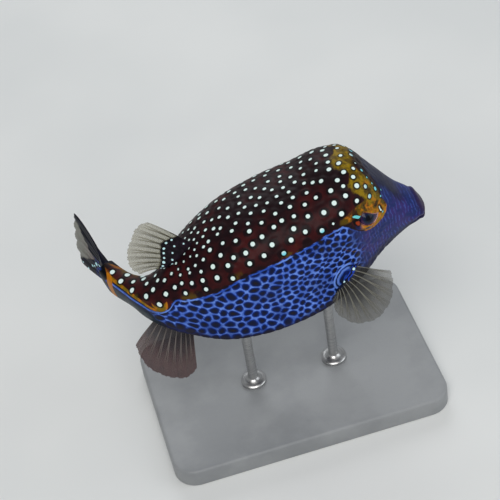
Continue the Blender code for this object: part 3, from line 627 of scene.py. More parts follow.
@dataclass(frozen=True)
class LidShape:
    """Opening between the lids, in millimetres in the eye's own plane.

    It is an ellipse, cut by a straight upper lid that falls towards the snout. The
    skin is moved only within reach, depth and fades_at of the eye.
    """
    centre: tuple = (1.4, 1.8)
    half: tuple = (4.85, 3.15)
    top: float = 3.5
    slope: float = 0.80
    over: float = 0.42
    dive: float = 2.2
    ring: tuple = (1.25, 0.95, 0.95)
    upper_share: float = 0.75
    snap: float = 0.13
    reach: float = 14.0
    depth: float = 9.0
    fades_at: float = 6.0
    far: float = 60.0
    softness: float = 5.0

    def outside(self, x: np.ndarray, z: np.ndarray) -> tuple:
        """Distance outside the opening, below 0 in it, and the direction away from its edge.

        Formula: for the ellipse, the distance r from its centre times 1 - 1/e, where
        e is r over the ellipse's own radius there; for the straight lid, the height
        above it. The larger of the two holds.

        Args:
            x: Places ahead of the eye's axis.
            z: Places above it.

        Returns:
            The distance, and the two parts of the unit direction.
        """
        dx, dz = x - self.centre[0], z - self.centre[1]
        ex, ez = dx / self.half[0], dz / self.half[1]
        e = np.maximum(np.hypot(ex, ez), 1e-6)
        around = np.hypot(dx, dz) * (1 - 1 / e)
        gx, gz = ex / self.half[0], ez / self.half[1]
        size = np.maximum(np.hypot(gx, gz), 1e-9)
        tilt = math.hypot(1.0, self.slope)
        above = (z - self.top + self.slope * x) / tilt
        q = np.maximum(around, above)
        lid = above > around
        away_x = np.where(lid, self.slope / tilt, gx / size)
        away_z = np.where(lid, 1.0 / tilt, gz / size)
        return q, away_x, away_z


@dataclass
class Skin:
    """One skin over head, shell and stem: relief, lids, lips, nostrils, gill slits and pattern.

    Its points form a grid over s and t. Plates are the cells round scattered hearts:
    on the back each heart has a white dot, and on the flank blue lines fill the
    gaps between them. A rim is given by its height, place and width, and a spacing
    by its least value, its rise and its change near one end.
    """
    shape: BodyShape
    eye: EyePlace = field(default_factory=EyePlace)
    lid: LidShape = field(default_factory=LidShape)
    marks: Markings = field(default_factory=Markings)
    colors: SkinColors = field(default_factory=SkinColors)
    row_places: tuple = (0.02, 0.6, 1.6, 4.0, 16.5, 32.0, 131.0)
    row_steps: tuple = (0.03, 0.08, 0.2, 0.38, 0.27, 0.575)
    parts: tuple = (27, 66, 62)
    crowd: tuple = (1.6, 4.95, 0.5, 24.4, 7.5)
    seed: int = 11
    back_spacing: tuple = (3.95, 1.30, 0.10)
    net_spacing: tuple = (2.45, 1.10, 0.15)
    belly_spacing: float = 5.0
    stem_spacing: float = 4.6
    belly_from: float = 2.0
    stem_from: float = 104.0
    dorsal_root: float = 92.0
    mm_per_turn: float = 6.0
    dorsal_less: float = 0.30
    first_heart: float = 12.0
    eye_clear: float = 7.0
    throws: int = 12000
    relax_rounds: int = 7
    relax_from: float = 11.0
    relax_stride: int = 4
    relax_pull: float = 0.75
    packing: float = 0.776
    neighbours: int = 6
    dot_radius: tuple = (0.76, 0.15, 0.07)
    dot_shift: float = 0.30
    set_dot_share: float = 0.92
    set_dot_gap: float = 3.2
    sharpness: float = 14.0
    corner: float = 3.0
    plate_raised: float = 0.15
    wavers: int = 6
    waver_lengths: tuple = (3.4, 7.5)
    waver_size: float = 0.42
    mouth_z: float = 17.2
    lips: tuple = ((2.3, 1.9, 0.60), (-1.3, 1.2, 0.42))
    cleft: tuple = (0.22, 0.95)
    nostrils: tuple = ((18.2, 5.25, 0.62), (16.2, 5.3, 0.5))
    nostril_rim: tuple = (0.28, 1.35, 0.35)
    nostril_depth: float = 0.8
    gill: tuple = ((33.6, 21.0), (37.6, 8.6))
    gill_bow: float = 1.6
    gill_rim: tuple = (0.25, 0.95, 0.5)
    gill_depth: float = 0.85
    gill_steps: int = 60
    width_samples: int = 80
    pad_centre: tuple = (38.4, 14.8)
    pad_axis: tuple = (0.537, -0.844)
    pad_half: tuple = (6.5, 4.2)
    pad_raised: float = 1.0
    pad_far: float = 4.0

    def grid(self) -> tuple:
        """Rows of s, evenly stepped within each stretch, and the turns of each row."""
        ends = zip(self.row_places, self.row_places[1:], self.row_steps)
        parts = [np.linspace(a, b, round((b - a) / step), endpoint=False) for a, b, step in ends]
        s = np.append(np.concatenate(parts), self.row_places[-1])
        t = self.shape.even_turns(s, self.parts, self.crowd)
        return np.repeat(s[:, None], t.shape[1], 1), t

    def slopes(self, points: np.ndarray) -> np.ndarray:
        """Cross products of a closed grid's slopes: outward, and as long as twice a cell's area."""
        round_ = np.roll(points, -1, 1) - np.roll(points, 1, 1)
        return np.cross(round_, np.gradient(points, axis=0))

    def zones(self, s: np.ndarray, t: np.ndarray, points: np.ndarray) -> dict:
        """Distances in millimetres from the lines where colours meet.

        Formula: the arc length round the section from the line to the point, with
        the turn taken on the nearer side of the body; for lines across the body,
        the distance along it.

        Args:
            s: Grid of distances.
            t: Grid of turns.
            points: Grid of places.

        Returns:
            Arrays by name: above the border, before the face line, off the yellow
            patch, under the net, past the band of the stem, from the stem's round
            blob, over the pad of the side fin, and the turn on the nearer side.
        """
        m = self.marks
        middle = self.shape.turns / 2
        near = np.minimum(t, self.shape.turns - t)
        step = np.linalg.norm(np.diff(points, axis=1, append=points[:, :1]), axis=2)
        arc = np.cumsum(step, 1) - step
        total = arc[:, -1:] + step[:, -1:]
        half = np.where(t > middle, total - arc, arc)
        columns = t.shape[1] // 2 + 1

        def from_line(places: tuple, turns: tuple) -> np.ndarray:
            """Arc length from a line over s to each point."""
            rows = zip(hermite(s[:, 0], places, turns), t[:, :columns], half[:, :columns])
            start = np.array([np.interp(turn, row_t, row_arc) for turn, row_t, row_arc in rows])
            return half - start[:, None]

        patch = np.abs(s - hermite(np.clip(near, m.patch_t[0], middle), m.patch_t, m.patch_s))
        patch = patch / np.interp(near, m.patch_t, m.patch_half)
        patch = patch + m.patch_fade * np.clip(m.patch_low - near, 0.0, None)
        blob = self.both_sides(*m.blob)
        ds, dz = s - self.pad_centre[0], points[..., 2] - self.pad_centre[1]
        long = ds * self.pad_axis[0] + dz * self.pad_axis[1]
        wide = ds * self.pad_axis[1] - dz * self.pad_axis[0]
        pad = np.hypot(long / self.pad_half[0], wide / self.pad_half[1])
        return {
            "back": from_line(m.border_s, m.border_t),
            "face": hermite(near, m.face_t, m.face_s) - s,
            "patch": patch,
            "under": -from_line(m.net_low_s, m.net_low_t),
            "band": s - hermite(np.clip(near, m.band_t[0], middle), m.band_t, m.band_s),
            "blob": nearest(points.reshape(-1, 3), blob, 1)[0].reshape(s.shape),
            "pad": np.where((near > m.pad_turns[0]) & (near < m.pad_turns[1]), pad, self.pad_far),
            "rear": wide,
            "near": near,
            "left": ramp(t, *m.left_turns),
        }

    def both_sides(self, s: float, t: float) -> np.ndarray:
        """Two rows: the places at s, t on the right side and on the left."""
        turns = np.array([t, self.shape.turns - t])
        return self.shape.surface(np.full(2, s), turns)

    def spacing(self, s: np.ndarray, zone: dict) -> np.ndarray:
        """Wanted distance between plate hearts, in millimetres.

        Formula: least spacings on the back and in the net, raised or lowered smoothly
        from place to place, and even spacings on the belly and on the stem.

        Args:
            s: Distances of the points.
            zone: Their zone distances.

        Returns:
            The spacing at each point.
        """
        back = zone["back"]
        least, more, less = self.back_spacing
        upper = (least + more * ramp(back, 27.0, 4.0)) * (1 - less * ramp(s, 70.0, 88.0))
        least, more, cheek = self.net_spacing
        lower = (least + more * ramp(s, 46.0, 80.0)) * (1 + cheek * ramp(s, 34.0, 26.0))
        wide = np.where(back > 0, upper, lower)
        wide = np.where(zone["under"] > self.belly_from, self.belly_spacing, wide)
        wide = wide * (1 - self.dorsal_less * self.by_dorsal(s, zone["near"]))
        return np.where(s > self.stem_from, self.stem_spacing, wide)

    def by_dorsal(self, s: np.ndarray, near: np.ndarray) -> np.ndarray:
        """Share from 0 to 1 of how near a place is to the dorsal fin's root."""
        aside = (self.shape.turns / 2 - near) * self.mm_per_turn
        return ramp(np.hypot(s - self.dorsal_root, aside), 12.0, 4.0)

    def hearts(self, s: np.ndarray, points: np.ndarray, zone: dict) -> tuple:
        """Scatter the plates' hearts over the skin.

        Formula: the set dots come first. Then places are drawn at random, and one is
        kept if it is far enough from those already kept. Then each heart moves to
        the middle of its cell, a few times over, apart from the set ones.

        Args:
            s: Distances of all points, in one row.
            points: All points, one row each.
            zone: Zone distances of all points.

        Returns:
            Numbers of the points that are hearts, and the radius of each set one.
        """
        rng = np.random.default_rng(self.seed)
        places, radii = [], []
        for dot_s, dot_t, radius in self.marks.set_dots:
            pair = self.both_sides(dot_s, dot_t)
            copies = 2 if abs(dot_t - self.shape.turns / 2) > 0.5 else 1
            places.extend(pair[:copies])
            radii.extend([radius] * copies)
        fixed = nearest(np.array(places), points, 1)[1][:, 0]
        want = self.spacing(s, zone)
        free = (s > self.first_heart) & (self.eye_gap(points) > self.eye_clear)
        kept = list(fixed)
        for i in rng.permutation(np.flatnonzero(free))[:self.throws]:
            if np.linalg.norm(points[kept] - points[i], axis=1).min() > self.packing * want[i]:
                kept.append(i)
        hearts = points[kept]
        some = np.flatnonzero(s > self.relax_from)[::self.relax_stride]
        weight = zone["area"][some] / want[some] ** 2
        for _ in range(self.relax_rounds):
            owner = nearest(points[some], hearts, 1)[1][:, 0]
            total = np.bincount(owner, weight, len(hearts)) + 1e-9
            sums = [np.bincount(owner, weight * row, len(hearts)) for row in points[some].T]
            middle = np.stack([row / total for row in sums], -1)
            free = (np.arange(len(hearts)) >= len(fixed)) & (total > 1e-6)
            hearts = np.where(free[:, None], hearts + self.relax_pull * (middle - hearts), hearts)
        found = nearest(hearts, points, 1)[1][:, 0]
        found[:len(fixed)] = fixed
        return found, np.array(radii)

    def waver(self, points: np.ndarray) -> np.ndarray:
        """Small smooth shifts: sine waves in random directions, lengths in millimetres drawn too."""
        rng = np.random.default_rng(self.seed + 2)
        count = self.wavers
        waves = unit(rng.normal(size=(count, 3)))
        waves = waves * (2 * math.pi / rng.uniform(*self.waver_lengths, (count, 1)))
        push = rng.normal(size=(count, 3)) * self.waver_size / math.sqrt(count)
        return np.sin(points @ waves.T + rng.uniform(0.0, 2 * math.pi, count)) @ push

    def plates(self, s: np.ndarray, points: np.ndarray, zone: dict) -> dict:
        """Fields of the plates over all points.

        Formula: the cell field is a soft least squared distance to the hearts,
        -ln(sum of exp(-k d^2)) / k, over a fifth of the squared spacing, so it is
        0 at a heart and about 1 between two. The seam field is a soft least distance
        in millimetres to the planes midway between the nearest heart and the next
        five. The dot field is the squared distance over the squared radius of the
        nearest dot.

        Args:
            s: Distances of all points.
            points: All points.
            zone: Zone distances of all points.

        Returns:
            Arrays by name: cell, seam, tone and dot.
        """
        rng = np.random.default_rng(self.seed + 1)
        hearts, set_radii = self.hearts(s, points, zone)
        count, fixed = len(hearts), len(set_radii)
        place = points[hearts]
        want = self.spacing(s, zone)
        moved = points + self.waver(points) * (zone["back"] < 0.0)[:, None]
        far, owner = nearest(moved, place, self.neighbours)
        square = far ** 2
        k = self.sharpness / want[:, None] ** 2
        soft = square[:, 0] - np.log(np.exp(-k * (square - square[:, :1])).sum(1)) / k[:, 0]
        apart = np.linalg.norm(place[owner[:, 1:]] - place[owner[:, :1]], axis=-1)
        border = (square[:, 1:] - square[:, :1]) / (2 * apart)
        seam = -np.log(np.exp(-self.corner * border).sum(1)) / self.corner
        tone = rng.uniform(0.0, 1.0, count)[owner[:, 0]]
        back, near = zone["back"][hearts], zone["near"][hearts]
        least, more, vary = self.dot_radius
        radius = least + more * ramp(back, 24.0, 6.0) + vary * rng.uniform(-1, 1, count)
        radius = radius * (1 - self.dorsal_less * self.by_dorsal(s[hearts], near))
        radius[:fixed] = set_radii * self.set_dot_share
        spotted = (back > 1.7) & (zone["face"][hearts] < -0.9) & (zone["band"][hearts] < -1.5)
        spotted = spotted & (nearest(place, place[:fixed], 1)[0][:, 0] > self.set_dot_gap)
        spotted[:fixed] = True
        shift = self.dot_shift * rng.normal(size=(count, 3))
        shift[:fixed] = 0.0
        dots = points[nearest((place + shift)[spotted], points, 1)[1][:, 0]]
        reach, which = nearest(points, dots, 1)
        return {
            "cell": np.clip(soft / (0.2 * want ** 2), 0.0, 2.0),
            "seam": np.clip(seam, -0.6, 3.0),
            "tone": tone,
            "dot": np.clip((reach[:, 0] / radius[spotted][which[:, 0]]) ** 2, 0.0, 16.0),
        }

    def eye_gap(self, points: np.ndarray) -> np.ndarray:
        """Distance from each point to the nearer eye's place on the skin."""
        away = [np.linalg.norm(points - self.eye.frame(self.shape, side)[0], axis=-1) for side in Side]
        return np.minimum(*away)

    def lids(self, points: np.ndarray) -> tuple:
        """Sink the sockets and raise the lids.

        Formula: heights over the eye's own plane, from the distance q outside the
        opening. In the opening the skin dives under the eyeball; outside it is a
        soft maximum of a lid that lies on the ball and of the skin with a round
        ring. Points close to the edge are moved onto it first.

        Args:
            points: Grid of places.

        Returns:
            The new places, and for each its distance outside the opening and its
            place ahead of and above the eye's axis.
        """
        lid = self.lid
        beyond, ahead, above = (np.full(points.shape[:2], lid.far) for _ in range(3))
        for side in Side:
            point, axis, forward, up = self.eye.frame(self.shape, side)
            rel = points - point
            height = rel @ axis
            x, z = rel @ forward, rel @ up
            here = (np.hypot(x, z) < lid.reach) & (np.abs(height) < lid.depth)
            q, away_x, away_z = lid.outside(x, z)
            close = here & (np.abs(q) < lid.snap)
            x = np.where(close, x - q * away_x, x)
            z = np.where(close, z - q * away_z, z)
            q = np.where(close, 0.0, q)
            ball = self.eye.ball_height(np.hypot(x, z))
            upper = ramp(z - lid.centre[1], -1.0, 2.0)
            centre, width, rise = lid.ring
            ring = rise * (1 - (1 - lid.upper_share) * upper) * np.exp(-((q - centre) / width) ** 2)
            swell = height + ring
            over = ball + lid.over * ramp(q, -0.1, 0.35) - 1.5 * np.clip(q - 1.0, 0.0, None)
            soft = np.logaddexp(lid.softness * swell, lid.softness * over) / lid.softness
            new = np.where(q >= 0.0, soft, ball - 0.05 - lid.dive * np.clip(-q, 0.0, 1.5))
            new = np.where(q > lid.fades_at, height, new)
            moved = point + new[..., None] * axis + x[..., None] * forward + z[..., None] * up
            points = np.where(here[..., None], moved, points)
            pairs = ((q, beyond), (x, ahead), (z, above))
            beyond, ahead, above = (np.where(here, fresh, kept) for fresh, kept in pairs)
        return points, beyond, ahead, above

    def lip_lift(self, s: np.ndarray, points: np.ndarray) -> tuple:
        """Two fleshy lips and the line of the mouth, as heights along the normal.

        Formula: a bell over the height above the mouth's line for each lip, less a
        narrow bell for the line itself. The line droops with the square of y, and
        all of it dies away behind the mouth's corner.

        Args:
            s: Grid of distances.
            points: Grid of places.

        Returns:
            Heights, and how deep each point lies in the mouth's line, which the finish paints dark as shade.
        """
        dz = points[..., 2] - self.mouth_z + 0.035 * points[..., 1] ** 2
        lips = (rise * np.exp(-((dz - centre) / width) ** 2) for centre, width, rise in self.lips)
        lift = sum(lips) * ramp(s, 9.5, 2.6)
        line = np.exp(-(dz / self.cleft[0]) ** 2) * ramp(s, 4.8, 3.6)
        return lift - self.cleft[1] * line, line

    def openings(self, points: np.ndarray) -> tuple:
        """Nostrils, each with a low rim, and gill slits, as heights along the normal.

        Args:
            points: Grid of places.

        Returns:
            Heights, and how deep inside an opening each point lies, which the finish paints dark as shade.
        """
        lift = np.zeros(points.shape[:2])
        inside = np.zeros(points.shape[:2])
        rise, place, width = self.nostril_rim
        for s, t, radius in self.nostrils:
            for centre in self.both_sides(s, t):
                off = np.linalg.norm(points - centre, axis=-1)
                rim = rise * np.exp(-((off - radius * place) / width) ** 2)
                lift += rim - self.nostril_depth * ramp(off, radius, 0.1)
                inside = np.maximum(inside, ramp(off, radius * 1.05, radius * 0.5))
        f = np.linspace(0.0, 1.0, self.gill_steps)
        s, z = np.array(self.gill[0])[:, None] * (1 - f) + np.array(self.gill[1])[:, None] * f
        x, y = -s + self.gill_bow * np.sin(f * math.pi), self.flank_width(s, z)
        rise, place, width = self.gill_rim
        for side in Side:
            slit = np.stack([x, side.value * y, z], -1)
            off = nearest(points.reshape(-1, 3), slit, 1)[0].reshape(points.shape[:2])
            lift += rise * np.exp(-((off - place) / width) ** 2) - self.gill_depth * ramp(off, 0.55, 0.0)
            inside = np.maximum(inside, ramp(off, 0.5, 0.2))
        return lift, inside

    def flank_width(self, s: np.ndarray, z: np.ndarray) -> np.ndarray:
        """Half width of the flank at heights z, read off the section between its ridges."""
        t = np.linspace(*self.shape.ridge_turns[1:3], self.width_samples)
        side, height = self.shape.section(s[:, None], t[None])
        return np.array([np.interp(v, h, w) for v, h, w in zip(z, height, side)])

    def build(self) -> bpy.types.Object:
        """Work out the grid and its fields, and make the skin."""
        s, t = self.grid()
        base = self.shape.surface(s, t)
        slopes = self.slopes(base)
        zone = self.zones(s, t, base)
        flat = {key: value.ravel() for key, value in zone.items()}
        flat["area"] = np.linalg.norm(slopes, axis=-1).ravel() / 2
        plates = self.plates(s.ravel(), base.reshape(-1, 3), flat)
        shell = ramp(s, 13.0, 20.0) * ramp(s, 112.0, 106.0) * ramp(self.eye_gap(base), 6.5, 9.0)
        shell = shell * ramp(zone["pad"], 0.9, 1.1)
        seam = plates["seam"].reshape(s.shape)
        lift = self.plate_raised * (ramp(seam, 0.1, 0.95) - 0.5) * shell
        opened, inside = self.openings(base)
        lips, mouth = self.lip_lift(s, base)
        pad = self.pad_raised * ramp(zone["pad"], 1.05, 0.35) * ramp(zone["rear"], 4.0, 1.0)
        points = base + unit(slopes + 1e-12) * (lift + opened + lips + pad)[..., None]
        points, beyond, ahead, above = self.lids(points)
        # inside is painted near-black by the finish: painted shade of the openings and the mouth's line.
        fields = {**zone, **plates, "along": s, "lid": beyond, "ahead": ahead, "above": above,
                  "inside": np.maximum(inside, mouth)}
        fields = {key: np.append(value, [value.flat[0], value.flat[-1]]) for key, value in fields.items()}
        ends = np.array([points[0].mean(0), points[-1].mean(0)])
        finish = SkinFinish(self.colors).build()
        return build_closed("skin", self.shape.placed(points), self.shape.placed(ends), fields, finish)


class SkinFinish:
    """Finish of the skin, laid on part by part from the mesh's fields and three noises."""

    def __init__(self, colors: SkinColors) -> None:
        """Start the material with the noises, and the same less their middle value."""
        self.c = colors
        self.g = Graph("boxfish_skin")
        sizes = ((110.0, 3.0, 0.5), (320.0, 3.0, 0.6), (1300.0, 2.0, 0.6))
        self.clouds = tuple(self.g.noise(*size) for size in sizes)
        self.sways = tuple(cloud - 0.5 for cloud in self.clouds)

    def build(self) -> bpy.types.Material:
        """Lay on the flank, back, face, stem and lids, the painted shade of the openings, and the gloss of
        moist skin.
        """
        g, c = self.g, self.c
        wide, mid, small = self.sways
        back, face, dot, along, near, lid = g.read("back", "face", "dot", "along", "near", "lid")
        cheek = self.face()
        flank = g.mix(self.net(), cheek, g.ramp(along + wide * 9.0, 33.5, 27.5))
        flank = self.pad(self.stem_under(flank))
        upper = g.most(g.ramp(along, 25.0, 28.0), g.ramp(near, 4.3, 4.7))
        skin = g.mix(flank, self.crest(), g.ramp(back + small * 0.3, -0.12, 0.12) * upper)
        skin = g.mix(skin, cheek, g.ramp(face + mid * 1.6, -0.3, 0.3))
        skin = self.lids(self.stem_end(skin))
        rim = g.ramp(abs(along - 18.0), 4.0, 2.0) * g.ramp(lid, 1.5, 2.1)
        skin = g.mix(skin, c.halo, g.ramp(dot, 2.4, 1.4) * rim * 0.8)
        skin = g.mix(skin, c.cyan_dot, g.ramp(dot, 1.10, 0.80) * rim)
        # Painted shade: the nostrils, gill slits and mouth line are painted near-black.
        skin = g.mix(skin, c.mouth, g.field("inside"))
        g.bump(g.noise(2600.0, 3.0, 0.6) * 0.6 + g.cells(1500.0) * 0.4, 0.04, 0.5)
        return g.finish(Base_Color=skin, Roughness=g.ramp(self.clouds[1], 0.2, 0.8) * 0.14 + 0.38,
                        Specular_IOR_Level=0.10, Coat_Weight=0.025, Coat_Roughness=0.16,
                        Subsurface_Weight=0.03, Subsurface_Scale=0.0012)

    def crest(self) -> Value:
        """Back: maroon with rusty gaps, amber patch, tinged border, and dots in dark halos."""
        g, c = self.g, self.c
        broad, middling, fine = self.clouds
        wide, mid, small = self.sways
        back, dot, along = g.read("back", "dot", "along")
        gap = g.ramp(g.field("cell") + mid * 1.1 + small * 0.5, 0.45, 1.0)
        rusty = g.ramp(broad * 0.8 + g.ramp(back, 26.0, 4.0) * 0.2, 0.38, 0.70)
        color = g.mix(c.maroon, c.rust, gap * rusty * 0.8)
        tinge = g.ramp(back, 3.8, 0.8) * g.ramp(broad + 0.06 * g.ramp(along, 84.0, 96.0), 0.50, 0.62)
        color = g.mix(color, g.mix(c.olive, c.rust, g.ramp(middling, 0.45, 0.6)), tinge * 0.7)
        gold = g.ramp(g.field("patch") + wide * 1.1 + mid * 1.3, 1.15, 0.75)
        amber = g.mix(c.olive, c.amber, g.ramp(middling * 0.7 + fine * 0.3, 0.40, 0.58))
        warm = g.ramp(g.noise(240.0), 0.58, 0.70) * g.ramp(along, 25.0, 20.0)
        amber = g.mix(amber, c.orange, warm * 0.6)
        amber = g.mix(amber, c.maroon, g.ramp(g.noise(170.0), 0.55, 0.66) * 0.65)
        color = g.mix(color, amber, gold * g.ramp(back, -0.5, 0.6) * 0.95)
        stripe = g.ramp(along, 103.0, 105.5) * g.ramp(back - (1.25 + mid * 0.9), 0.25, -0.15)
        stripe = stripe * (1.0 - g.field("left") * 0.75)
        ring = g.ramp(abs(g.field("blob") - 2.75 + mid * 0.7), 1.05, 0.7)
        ring = ring * g.ramp(back - g.ramp(along, 104.6, 106.2) * 1.2, 3.2, 2.4)
        ring = ring * g.ramp(along, 106.4, 104.8)
        glow = g.mix(g.mix(c.olive, c.amber, 0.5), c.orange, g.ramp(middling, 0.42, 0.62))
        color = g.mix(color, glow, g.most(stripe, ring))
        color = g.mix(color, c.halo, g.ramp(dot, 3.6, 1.5) * 0.92)
        cyan = g.ramp(back, 3.4, 1.6) * g.ramp(g.field("tone"), 0.3, 0.6) * g.ramp(along, 104.0, 98.0)
        return g.mix(color, g.mix(c.dot, c.cyan_dot, cyan), g.ramp(dot, 1.15, 0.78))

    def net(self) -> Value:
        """Flank: dark holes in a blue net, with a bright line under the border, fading below into painted
        shade on the belly, where faint net lines stay.
        """
        g, c = self.g, self.c
        broad = self.clouds[0]
        wide, mid, small = self.sways
        tone, along = g.read("tone", "along")
        level = g.field("seam") + mid * 0.42 + small * 0.10
        level = level * (1.0 + g.ramp(along, 70.0, 44.0) * 0.50)
        heart = g.mix(c.hole, c.hole_heart, g.ramp(level + tone * 0.4, 1.20, 1.75))
        color = g.mix(heart, c.net_deep, g.ramp(level, 1.05, 0.42))
        strong = g.ramp(g.noise(210.0) + tone * 0.16, 0.42, 0.66)
        line = g.ramp(level, 0.52, 0.20)
        blue = g.mix(c.net, c.net_bright, g.ramp(level, 0.30, 0.0) * (0.40 + 0.60 * strong))
        color = g.mix(color, blue, line * (0.50 + 0.50 * g.ramp(broad, 0.30, 0.52)))
        rim = g.ramp(abs(g.field("back") + 0.60 + mid * 1.1), 0.46, 0.16)
        rim = rim * g.ramp(g.noise(190.0, 1.0), 0.34, 0.46) * g.ramp(along, 27.0, 31.0)
        color = g.mix(color, g.mix(c.net, c.net_bright, g.ramp(broad, 0.4, 0.6)), rim)
        # Painted shade: below the net the flank darkens to the belly tone, keeping faint net lines.
        underside_shade = g.ramp(g.field("under") + wide * 5.0, -1.4, 1.8)
        return g.mix(color, g.mix(c.belly, c.net_deep, line * 0.6), underside_shade)

    def face(self) -> Value:
        """Face: indigo with violet clouds and short wavy lighter lines that run round the snout, darkened
        below by painted shade.
        """
        g, c = self.g, self.c
        broad, middling, _ = self.clouds
        wide, _, small = self.sways
        along = g.field("along")
        bend = g.noise(105.0) * 12.0 + g.noise(330.0, 3.0, 0.6) * 9.0
        lanes = g.math("SINE", along * 4.6 + bend)
        color = g.mix(c.indigo, c.violet, g.ramp(broad * 0.6 + middling * 0.4, 0.46, 0.60) * 0.8)
        line = g.ramp(lanes + small * 1.6, 0.15, 1.0) * g.ramp(middling, 0.38, 0.58)
        color = g.mix(color, c.face_line, line * 0.62)
        brow = g.ramp(g.field("near") + wide * 1.6, 5.6, 6.3) * g.ramp(along, 5.0, 11.0)
        color = g.mix(color, c.forehead, brow * 0.9)
        color = g.mix(color, c.snout, g.ramp(along + wide * 5.0, 4.2, 0.8) * 0.8)
        # Painted shade: the face darkens below into the belly tone.
        return g.mix(color, c.belly, g.ramp(g.field("under") + wide * 4.0, -1.5, 3.0) * 0.85)

    def stem_under(self, color: Value) -> Value:
        """Under the border on the stem: a black line, then a light blue strip that fades downwards."""
        g, c = self.g, self.c
        back, along = g.read("back", "along")
        low = g.mix(c.hole, c.stem_low, g.ramp(back, -3.0, -5.0))
        strip = abs(back + 1.35 + self.sways[1] * 0.6)
        low = g.mix(low, c.net, g.ramp(strip, 0.85, 0.45) * g.ramp(along, 102.0, 108.0))
        shine = g.ramp(strip, 0.42, 0.12) * g.ramp(self.clouds[1], 0.36, 0.56)
        low = g.mix(low, c.net_bright, shine * 0.85)
        low = g.mix(low, c.halo, g.ramp(back, -0.70, -0.45))
        return g.mix(color, low, g.ramp(along, 104.0, 107.5))

    def pad(self, color: Value) -> Value:
        """Pad behind the side fin: deep blue with two bright curved lines along its rear rim."""
        g, c = self.g, self.c
        _, mid, small = self.sways
        pad, rear = g.read("pad", "rear")
        ground = g.mix(c.net_deep, c.hole, g.ramp(self.clouds[1], 0.42, 0.62))
        lanes = g.math("SINE", pad * 15.0 + (g.noise(260.0, 1.0) - 0.5) * 9.0)
        ground = g.mix(ground, c.net, g.ramp(lanes, 0.2, 0.9) * 0.8)
        wobble = mid * 0.14
        outer = g.ramp(abs(pad - 0.92 + wobble), 0.11, 0.04) * g.ramp(rear, 1.4, -0.4)
        inner = g.ramp(abs(pad - 0.66 + wobble), 0.10, 0.04) * g.ramp(rear, 1.0, -0.4) * 0.7
        ground = g.mix(ground, c.net_bright, g.most(outer, inner))
        return g.mix(color, ground, g.ramp(pad + small * 0.06, 1.02, 0.95))

    def stem_end(self, color: Value) -> Value:
        """End of the stem: a narrow orange band, and dark skin with a few blue flecks beyond it."""
        g, c = self.g, self.c
        mid = self.sways[1]
        near = g.field("near")
        band = g.field("band") + mid
        flecks = g.ramp(g.noise(300.0), 0.56, 0.66) * g.ramp(near, 6.4, 5.4)
        color = g.mix(color, g.mix(c.halo, c.net, flecks * 0.9), g.ramp(band, 0.8, 1.4))
        glow = g.mix(c.orange, c.ember, g.ramp(self.clouds[1], 0.56, 0.70) * 0.6)
        shown = g.ramp(near + mid * 0.6, 6.75, 6.1) * (1.0 - g.field("left") * 0.6)
        return g.mix(color, glow, g.ramp(abs(band), 1.75, 1.35) * shown)

    def by_eye(self, x: float, z: float, half_x: float, half_z: float, lean: float = 0.0) -> Value:
        """Squared elliptical distance from a place by the eye, leaning up by lean along x."""
        ahead, above = self.g.read("ahead", "above")
        dx = (ahead - x) / half_x
        dz = (above - z - (ahead - x) * lean) / half_z
        return dx * dx + dz * dz

    def lids(self, color: Value) -> Value:
        """Lids: an orange lower crescent with red flecks, mottled above, a painted glint along the front of
        the lower lid's edge, and the corner marks.
        """
        g, c = self.g, self.c
        _, middling, fine = self.clouds
        _, mid, small = self.sways
        lid, ahead, above = g.read("lid", "ahead", "above")
        wobble = mid * 0.5
        fleck = g.mix(c.orange, c.amber, g.ramp(middling, 0.42, 0.58))
        fleck = g.mix(fleck, c.ember, g.ramp(fine * 0.45 + middling * 0.55, 0.53, 0.60) * 0.7)
        upper = g.mix(c.olive, c.orange, g.ramp(middling, 0.44, 0.60))
        upper = g.mix(upper, c.maroon, g.ramp(g.noise(230.0, 3.0, 0.6), 0.50, 0.60) * 0.8)
        front = g.ramp(self.by_eye(2.6, -0.2, 7.2, 5.2) + wobble, 1.08, 0.92)
        front = front * g.ramp(ahead + above * 0.25, -3.8, -2.0)
        rear = g.mix(c.indigo, c.maroon, g.ramp(above, -0.5, 2.5))
        around = g.ramp(lid + wobble * 1.6, 2.8, 2.3)
        color = g.mix(color, rear, around * g.ramp(ahead, -1.0, -3.5) * 0.85)
        crescent = g.mix(fleck, upper, g.ramp(above + ahead * 0.5, 3.6, 5.2))
        color = g.mix(color, crescent, g.most(front, around * g.ramp(ahead, -4.5, -2.5)))
        brow = g.ramp(self.by_eye(-3.8, 6.3, 6.4, 2.0, 0.10) + wobble * 3.0, 1.3, 0.6)
        color = g.mix(color, upper, brow * 0.85)
        pinkish = g.mix(c.maroon, c.pink, g.ramp(fine * 0.5 + middling * 0.5, 0.42, 0.58))
        color = g.mix(color, pinkish, g.ramp(lid, 0.55, 0.2) * 0.8)
        # Painted highlight: a pale glint painted along the front of the lower lid's edge.
        shine = g.ramp(lid, 0.34, 0.12) * g.ramp(ahead, 0.5, 2.0) * g.ramp(above, 2.6, 1.4)
        color = g.mix(color, c.lid_glint, shine * 0.8)
        color = g.mix(color, c.halo, g.ramp(self.by_eye(-4.2, 3.4, 2.1, 2.6, -0.4), 1.3, 0.8) * 0.85)
        red = self.by_eye(-4.4, 2.2, 0.95, 0.95, -0.5) + small * 0.8
        color = g.mix(color, c.ember, g.ramp(red, 1.2, 0.7))
        blue = self.by_eye(-4.1, 4.8, 1.6, 0.62, -0.5) + small * 0.8
        color = g.mix(color, c.turquoise, g.ramp(blue, 1.1, 0.8))
        color = g.mix(color, c.halo, g.ramp(self.by_eye(6.3, 0.7, 1.0, 1.7), 1.2, 0.8) * 0.8)
        return g.mix(color, c.dot, g.ramp(self.by_eye(6.25, 0.8, 0.42, 0.95), 1.1, 0.8))


